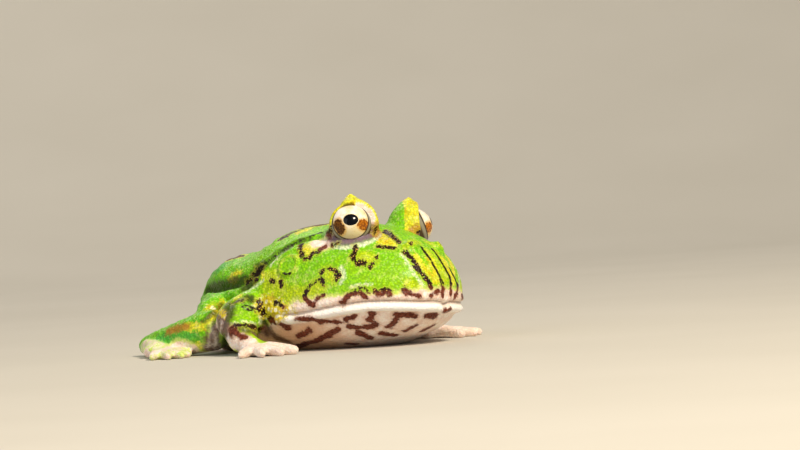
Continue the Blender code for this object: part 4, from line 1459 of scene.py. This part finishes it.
# Gold at the tops of the grains: partly gold flecks, partly a painted highlight
speckled = layered(tree, NEAR_BLACK, {
    "gold grains and painted highlight, where it is flecked": ("#dcb550", grains, (0.34, 0.18), flecked),
})
grainy_edge = broken_up(tree, ragged("brown", 0.7, 1.2), grains, 0.7, 0.30)
smooth_edge = ragged("brown", 0.5, 1.3)
marked_green = layered(tree, plain_skin, {
    "yellow-green halo": ("#d4d63a", grainy_edge, (0.75, 0.15), 0.35),
    "black edge": ("#1c0b03", grainy_edge, (0.22, -0.08), 1.0),
    "speckled brown": (speckled, grainy_edge, (-0.02, -0.18), 1.0),
})
marked_cream = layered(tree, plain_skin, {
    "rosy halo": ("#c58f6c", smooth_edge, (0.80, 0.10), 0.35),
    "rust": (rust, smooth_edge, (0.22, -0.14), 1.0),
})
print("the brown marks are done,", len(tree.nodes), "nodes so far")

# %% Blotches, thin lines, slit and lid line
blotch_edge = broken_up(tree, ragged("blotch", 0.7, 2.2), grains, 0.6, 0.24)
olive_rust = layered(tree, rust, {
    "olive clouds": ("#4a4a12", medium, (0.42, 0.62), 1.0),
})
skin_colour = layered(tree, marked_green, {
    "the marks on cream": (marked_cream, read["cream"], (1.1, 0.3), 1.0),
    # Thin lines: the snout's own dark lines, and painted shade in the creases
    "thin lines": ("#1e0d04", ragged("thin", 0.3, 0.45), (0.14, -0.12), 1.0),
    "rim of the blotches": ("#d9e23c", blotch_edge, (0.70, 0.25), 1.0),
    "edge of the blotches": ("#241206", blotch_edge, (0.10, -0.08), 1.0),
    "heart of the blotches": (olive_rust, blotch_edge, (-0.25, -0.60), 1.0),
    # Painted shade in the slit of the mouth
    "slit of the mouth": ("#9a6c4c", read["slit"], (0.62, 1.0), 0.50),
    "line of the upper lid": ("#4a2c08", read["lid_line"], (6.0, 3.2), 0.85),
})
tree.links.new(skin_colour, shader.inputs["Base Color"])
print("all colours are done,", len(tree.nodes), "nodes so far")

# %% Wetness, grain and depth of the skin
# Water and slime bend light a little less than most plastics do. The coat is weak, so that the greens stay
# deep under soft light, and light that goes through the skin comes out warm.
SKIN_SHEEN = {
    "IOR": 1.38,
    "Specular IOR Level": 0.26,
    "Coat Weight": 0.07,
    "Coat Roughness": 0.16,
    "Subsurface Weight": 0.10,
    "Subsurface Radius": (1.0, 0.45, 0.2),
    "Subsurface Scale": 0.5 * MM,
}
GRAIN_RELIEF = 0.13
SMOOTHEST = 0.26
ROUGHEST = 0.50
roughness = {"Value": fine, "To Min": SMOOTHEST, "To Max": ROUGHEST}
shine = add(tree, "MapRange", roughness).outputs["Result"]
tree.links.new(shine, shader.inputs["Roughness"])
relief = broken_up(tree, grains, fine, -0.5, 0.0)
grain_bump = {"Height": relief, "Distance": GRAIN_RELIEF * MM, "Strength": 1.0}
bump = add(tree, "Bump", grain_bump, invert=True)
tree.links.new(bump.outputs["Normal"], shader.inputs["Normal"])
for name, value in SKIN_SHEEN.items():
    shader.inputs[name].default_value = value
print("the skin's material has", len(tree.nodes), "nodes")

# %% Put the skin on the frog
skin.data.materials.clear()
skin.data.materials.append(wet_skin)
only(skin)
bpy.ops.object.shade_smooth()
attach(skin, "root")
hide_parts(*flesh)
print("the skin has", sum(len(face.vertices) - 2 for face in skin.data.polygons), "triangles")

# %% [markdown]
# ## The eyes
# A horned frog's eye is a wet ball with a cream and gold iris, a level oval pupil and a rust bar on each
# side of it. The solid ball could be dressed, but it has too few faces for a clean glint. So a ball of
# many faces takes its place, the clear bulge of the cornea is drawn out of it, and it carries its own
# map: how far each point lies towards the nose, up and out.

# %% Two eyeballs
CORNEA_RISE = 0.25
CORNEA_REACH = 2.6
CORNEA_TOP = 0.995
eyes = []
for side, word in ((-1, "right"), (1, "left")):
    middle, nose, high, out = eye_frame(side)
    bpy.ops.object.select_all(action="DESELECT")
    bpy.ops.mesh.primitive_uv_sphere_add(
        segments=96,
        ring_count=64,
        radius=EYE_RADIUS * MM,
        location=middle,
        rotation=out.to_track_quat("Z", "Y").to_euler(),
    )
    eye = bpy.context.object
    eye.name = "eyeball_" + word
    bpy.ops.object.transform_apply(location=True, rotation=True, scale=True)
    bpy.ops.object.shade_smooth()
    bpy.ops.object.mode_set(mode="EDIT")
    bpy.ops.mesh.select_all(action="DESELECT")
    ball = bmesh.from_edit_mesh(eye.data)
    for vert in ball.verts:
        vert.select = (vert.co - middle).dot(out) > CORNEA_TOP * EYE_RADIUS * MM
    ball.select_flush_mode()
    bpy.ops.transform.translate(
        value=out * CORNEA_RISE * MM,
        use_proportional_edit=True,
        proportional_edit_falloff="SMOOTH",
        proportional_size=CORNEA_REACH * MM,
    )
    bpy.ops.object.mode_set(mode="OBJECT")
    eyes.append(eye)
    gaze = eye.data.attributes.new("gaze", "FLOAT_VECTOR", "POINT")
    for index, vert in enumerate(eye.data.vertices):
        offset = (vert.co - middle) / MM
        gaze.data[index].vector = (offset.dot(nose), offset.dot(high), offset.dot(out))
    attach(eye, "root")
    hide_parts("eye_" + word)
print("each eyeball has", len(eyes[0].data.vertices), "points")

# %% [markdown]
# ## The surface of an eye
# The iris is a dull cream and gold disc of fine fibres under a clear wet cornea. A glass shell could lie
# over it, but a shell that thin shows no more than a clear coat does. So one surface carries both: the
# coat gives the sharp wet glint, and the colours under it are ovals on the eye's own map, roughened by
# noise.

# %% The map and the noises of the iris
# Both in millimetres
IRIS_FLECKS = 0.35
IRIS_CLOUDS = 1.6
iris_look, tree, shader = new_material("wet_iris_under_cornea")
gaze = add(tree, "Attribute", attribute_name="gaze").outputs["Vector"]
space = add(tree, "TexCoord").outputs["Object"]
small = {"Vector": space, "Scale": per_mm(IRIS_FLECKS), "Detail": 3.0}
flecks = add(tree, "TexNoise", small).outputs["Fac"]
large = {"Vector": space, "Scale": per_mm(IRIS_CLOUDS), "Detail": 2.0}
clouds = add(tree, "TexNoise", large).outputs["Fac"]
height = add(tree, "SeparateXYZ", {0: gaze}).outputs[1]


def oval(middle, half_sizes):
    """The distance from an oval's middle on the eye's map, towards the nose and up; it is 1 at its edge."""
    centred = add(tree, "VectorMath", {0: gaze, 1: (*middle, 0.0)}, operation="SUBTRACT").outputs[0]
    scale = (1 / half_sizes[0], 1 / half_sizes[1], 0.0)
    sized = add(tree, "VectorMath", {0: centred, 1: scale}, operation="MULTIPLY").outputs[0]
    return add(tree, "VectorMath", {0: sized}, operation="LENGTH").outputs["Value"]


print("the iris has", len(tree.nodes), "nodes so far")

# %% Iris, rust bars, rims and pupil
IVORY = "#fdf4e6"
# Where a bar lies, towards the nose and up, its half sizes, and its dark and light colours
IRIS_BARS = (
    ((-2.15, -0.10), (0.82, 0.95), "#4c2a04", "#7c4a0a"),
    ((-1.75, -1.00), (0.85, 0.95), "#422404", "#7c4a0a"),
    ((2.20, -0.45), (0.98, 0.95), "#844606", "#c87a14"),
)
IRIS_AXIS = (0.0, 0.32)
PUPIL_MIDDLE = (0.12, 0.45)
PUPIL_HALF_SIZES = (1.30, 1.02)

iris = layered(tree, IVORY, {
    "gold clouds": ("#f0dcae", clouds, (0.35, 0.65), 1.0),
    "dull gold below": ("#dccb98", height, (0.0, -2.6), 1.0),
    "dull flecks": ("#d0b88a", flecks, (0.60, 0.75), 1.0),
})
bars = [broken_up(tree, oval(*bar[:2]), flecks, 0.8, 0.4) for bar in IRIS_BARS]
for bar in bars:
    iris = layered(tree, iris, {"golden halo of a bar": ("#dfa840", bar, (1.55, 1.0), 0.75)})
for bar, (_, _, dark, light) in zip(bars, IRIS_BARS):
    bar_colour = layered(tree, dark, {"light flecks": (light, flecks, (0.40, 0.65), 1.0)})
    iris = layered(tree, iris, {"rust bar": (bar_colour, bar, (1.08, 0.84), 1.0)})
from_axis = oval(IRIS_AXIS, (1.0, 1.0))
pupil = broken_up(tree, oval(PUPIL_MIDDLE, PUPIL_HALF_SIZES), flecks, 0.10, 0.05)
iris = layered(tree, iris, {
    "dark ring round the iris": ("#3a3128", from_axis, (2.95, 3.08), 1.0),
    "grey rim": ("#8f8b76", from_axis, (3.12, 3.24), 1.0),
    "brown edge at the lids": ("#4a3a20", from_axis, (3.40, 3.56), 1.0),
    "pale rim of the pupil": ("#f6e2b8", pupil, (1.12, 1.06), 1.0),
    "pupil": ("#05060a", pupil, (1.02, 0.98), 1.0),
})
tree.links.new(iris, shader.inputs["Base Color"])
print("the iris has", len(tree.nodes), "nodes")

# %% The wet cornea
CORNEA = {
    "Roughness": 0.35,
    "IOR": 1.38,
    "Coat Weight": 0.8,
    "Coat IOR": 1.33,
    "Coat Roughness": 0.03,
    "Specular IOR Level": 0.05,
}
for name, value in CORNEA.items():
    shader.inputs[name].default_value = value
for eye in eyes:
    eye.data.materials.clear()
    eye.data.materials.append(iris_look)
print("both eyes have the material", iris_look.name)

# %% [markdown]
# ## Floor and backdrop
# A museum shows such a model on plain pale ground. Floor and wall could be two planes, but their corner
# would draw a line behind the frog. So one sheet of matt paper is bent up in a wide curve, square to the
# camera. It is dull and hardly mottled, and leaves the eye to the frog.

# %% A pale sweep
SWEEP_SIZE = 3.0
SWEEP_BEND = 0.5
SWEEP_BEHIND = 0.95
behind_frog = Vector((-back.x, -back.y, 0)).normalized()
bpy.ops.object.select_all(action="DESELECT")
bpy.ops.mesh.primitive_plane_add(
    size=SWEEP_SIZE,
    location=behind_frog * (SWEEP_BEHIND - SWEEP_SIZE / 2),
    rotation=(0, 0, -turn),
)
sweep = bpy.context.object
sweep.name = "sweep"
bpy.ops.object.transform_apply(location=True, rotation=True, scale=True)
print("the sweep is", SWEEP_SIZE, "m wide")


# %% Bend it up behind the frog
JUST_OVER_FLOOR = 0.01


def select_back_edge(highest):
    """Selects the points of the sweep that lie behind the frog and below a height, and nothing else."""
    bpy.ops.mesh.select_all(action="DESELECT")
    form = bmesh.from_edit_mesh(sweep.data)
    for vert in form.verts:
        vert.select = vert.co.dot(behind_frog) > 0 and vert.co.z < highest
    form.select_flush_mode()


bpy.ops.object.mode_set(mode="EDIT")
select_back_edge(SWEEP_SIZE)
bpy.ops.mesh.extrude_region_move(TRANSFORM_OT_translate={"value": (0, 0, SWEEP_SIZE / 2)})
select_back_edge(JUST_OVER_FLOOR)
bpy.ops.mesh.bevel(offset=SWEEP_BEND, segments=24)
bpy.ops.mesh.select_all(action="SELECT")
bpy.ops.mesh.normals_make_consistent(inside=False)
bpy.ops.object.mode_set(mode="OBJECT")
bpy.ops.object.shade_smooth()
print("the bent sweep has", len(sweep.data.polygons), "faces")

# %% Matt pale paper
PAPER_MOTTLE = 60.0
paper, tree, shader = new_material("matt_pale_paper")
space = add(tree, "TexCoord").outputs["Object"]
cloudy = {"Vector": space, "Scale": per_mm(PAPER_MOTTLE), "Detail": 2.0}
mottle = add(tree, "TexNoise", cloudy).outputs["Fac"]
paper_colour = layered(tree, "#c9c3b6", {"mottle": ("#d2ccc0", mottle, EVENLY, 1.0)})
tree.links.new(paper_colour, shader.inputs["Base Color"])
shader.inputs["Roughness"].default_value = 0.9
sweep.data.materials.clear()
sweep.data.materials.append(paper)
sweep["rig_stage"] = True
print("the sweep has the material", paper.name)

# %% [markdown]
# ## Light
# Wet skin and wet eyes show their form by their glints. One lamp would leave the far side black, and
# light from all sides would flatten the warts. So a small warm lamp stands high at the right of the
# picture, a wide cool one fills the left, a third one draws the rim from behind, and a pale room lifts
# the rest.

# %% Lights
RIGHT_OF_VIEW = Vector((math.cos(turn), -math.sin(turn), 0))
MIDDLE_OF_FROG = at(8, 0, 12)
LIGHT_DISTANCE = 0.9
# How far to the right, towards the camera and up it stands; then its size, power and colour
LIGHTS = {
    "key": ((0.42, 0.62, 0.66), 0.16, 8.6, "#fff2dc"),
    "fill": ((-0.7, 0.6, 0.35), 0.70, 1.9, "#eef4ff"),
    "rim": ((-0.3, -0.8, 0.8), 0.45, 1.6, "#fff8ee"),
}
for name, ((rightward, nearer, upward), size, power, tint) in LIGHTS.items():
    way = (RIGHT_OF_VIEW * rightward + back * nearer + Vector((0, 0, upward))).normalized()
    bpy.ops.object.light_add(
        type="AREA",
        location=MIDDLE_OF_FROG + way * LIGHT_DISTANCE,
        rotation=way.to_track_quat("Z", "Y").to_euler(),
    )
    lamp = bpy.context.object
    lamp.name = name
    lamp.data.size = size
    lamp.data.energy = power
    lamp.data.color = linear(tint)[:3]
print(len(LIGHTS), "lamps stand", LIGHT_DISTANCE, "m from the frog")

# %% The pale room
ROOM_LIGHT = {"Color": linear("#eef1f4"), "Strength": 0.32}
world = bpy.data.worlds.new("pale room")
bpy.context.scene.world = world
world.use_nodes = True
for name, value in ROOM_LIGHT.items():
    world.node_tree.nodes["Background"].inputs[name].default_value = value
bpy.context.scene.view_settings.view_transform = "Standard"
print("the room gives light of the strength", ROOM_LIGHT["Strength"])

# %% Measure and finish
low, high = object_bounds()
print("the dressed frog measures", [round((b - a) / MM, 1) for a, b in zip(low, high)], "mm")
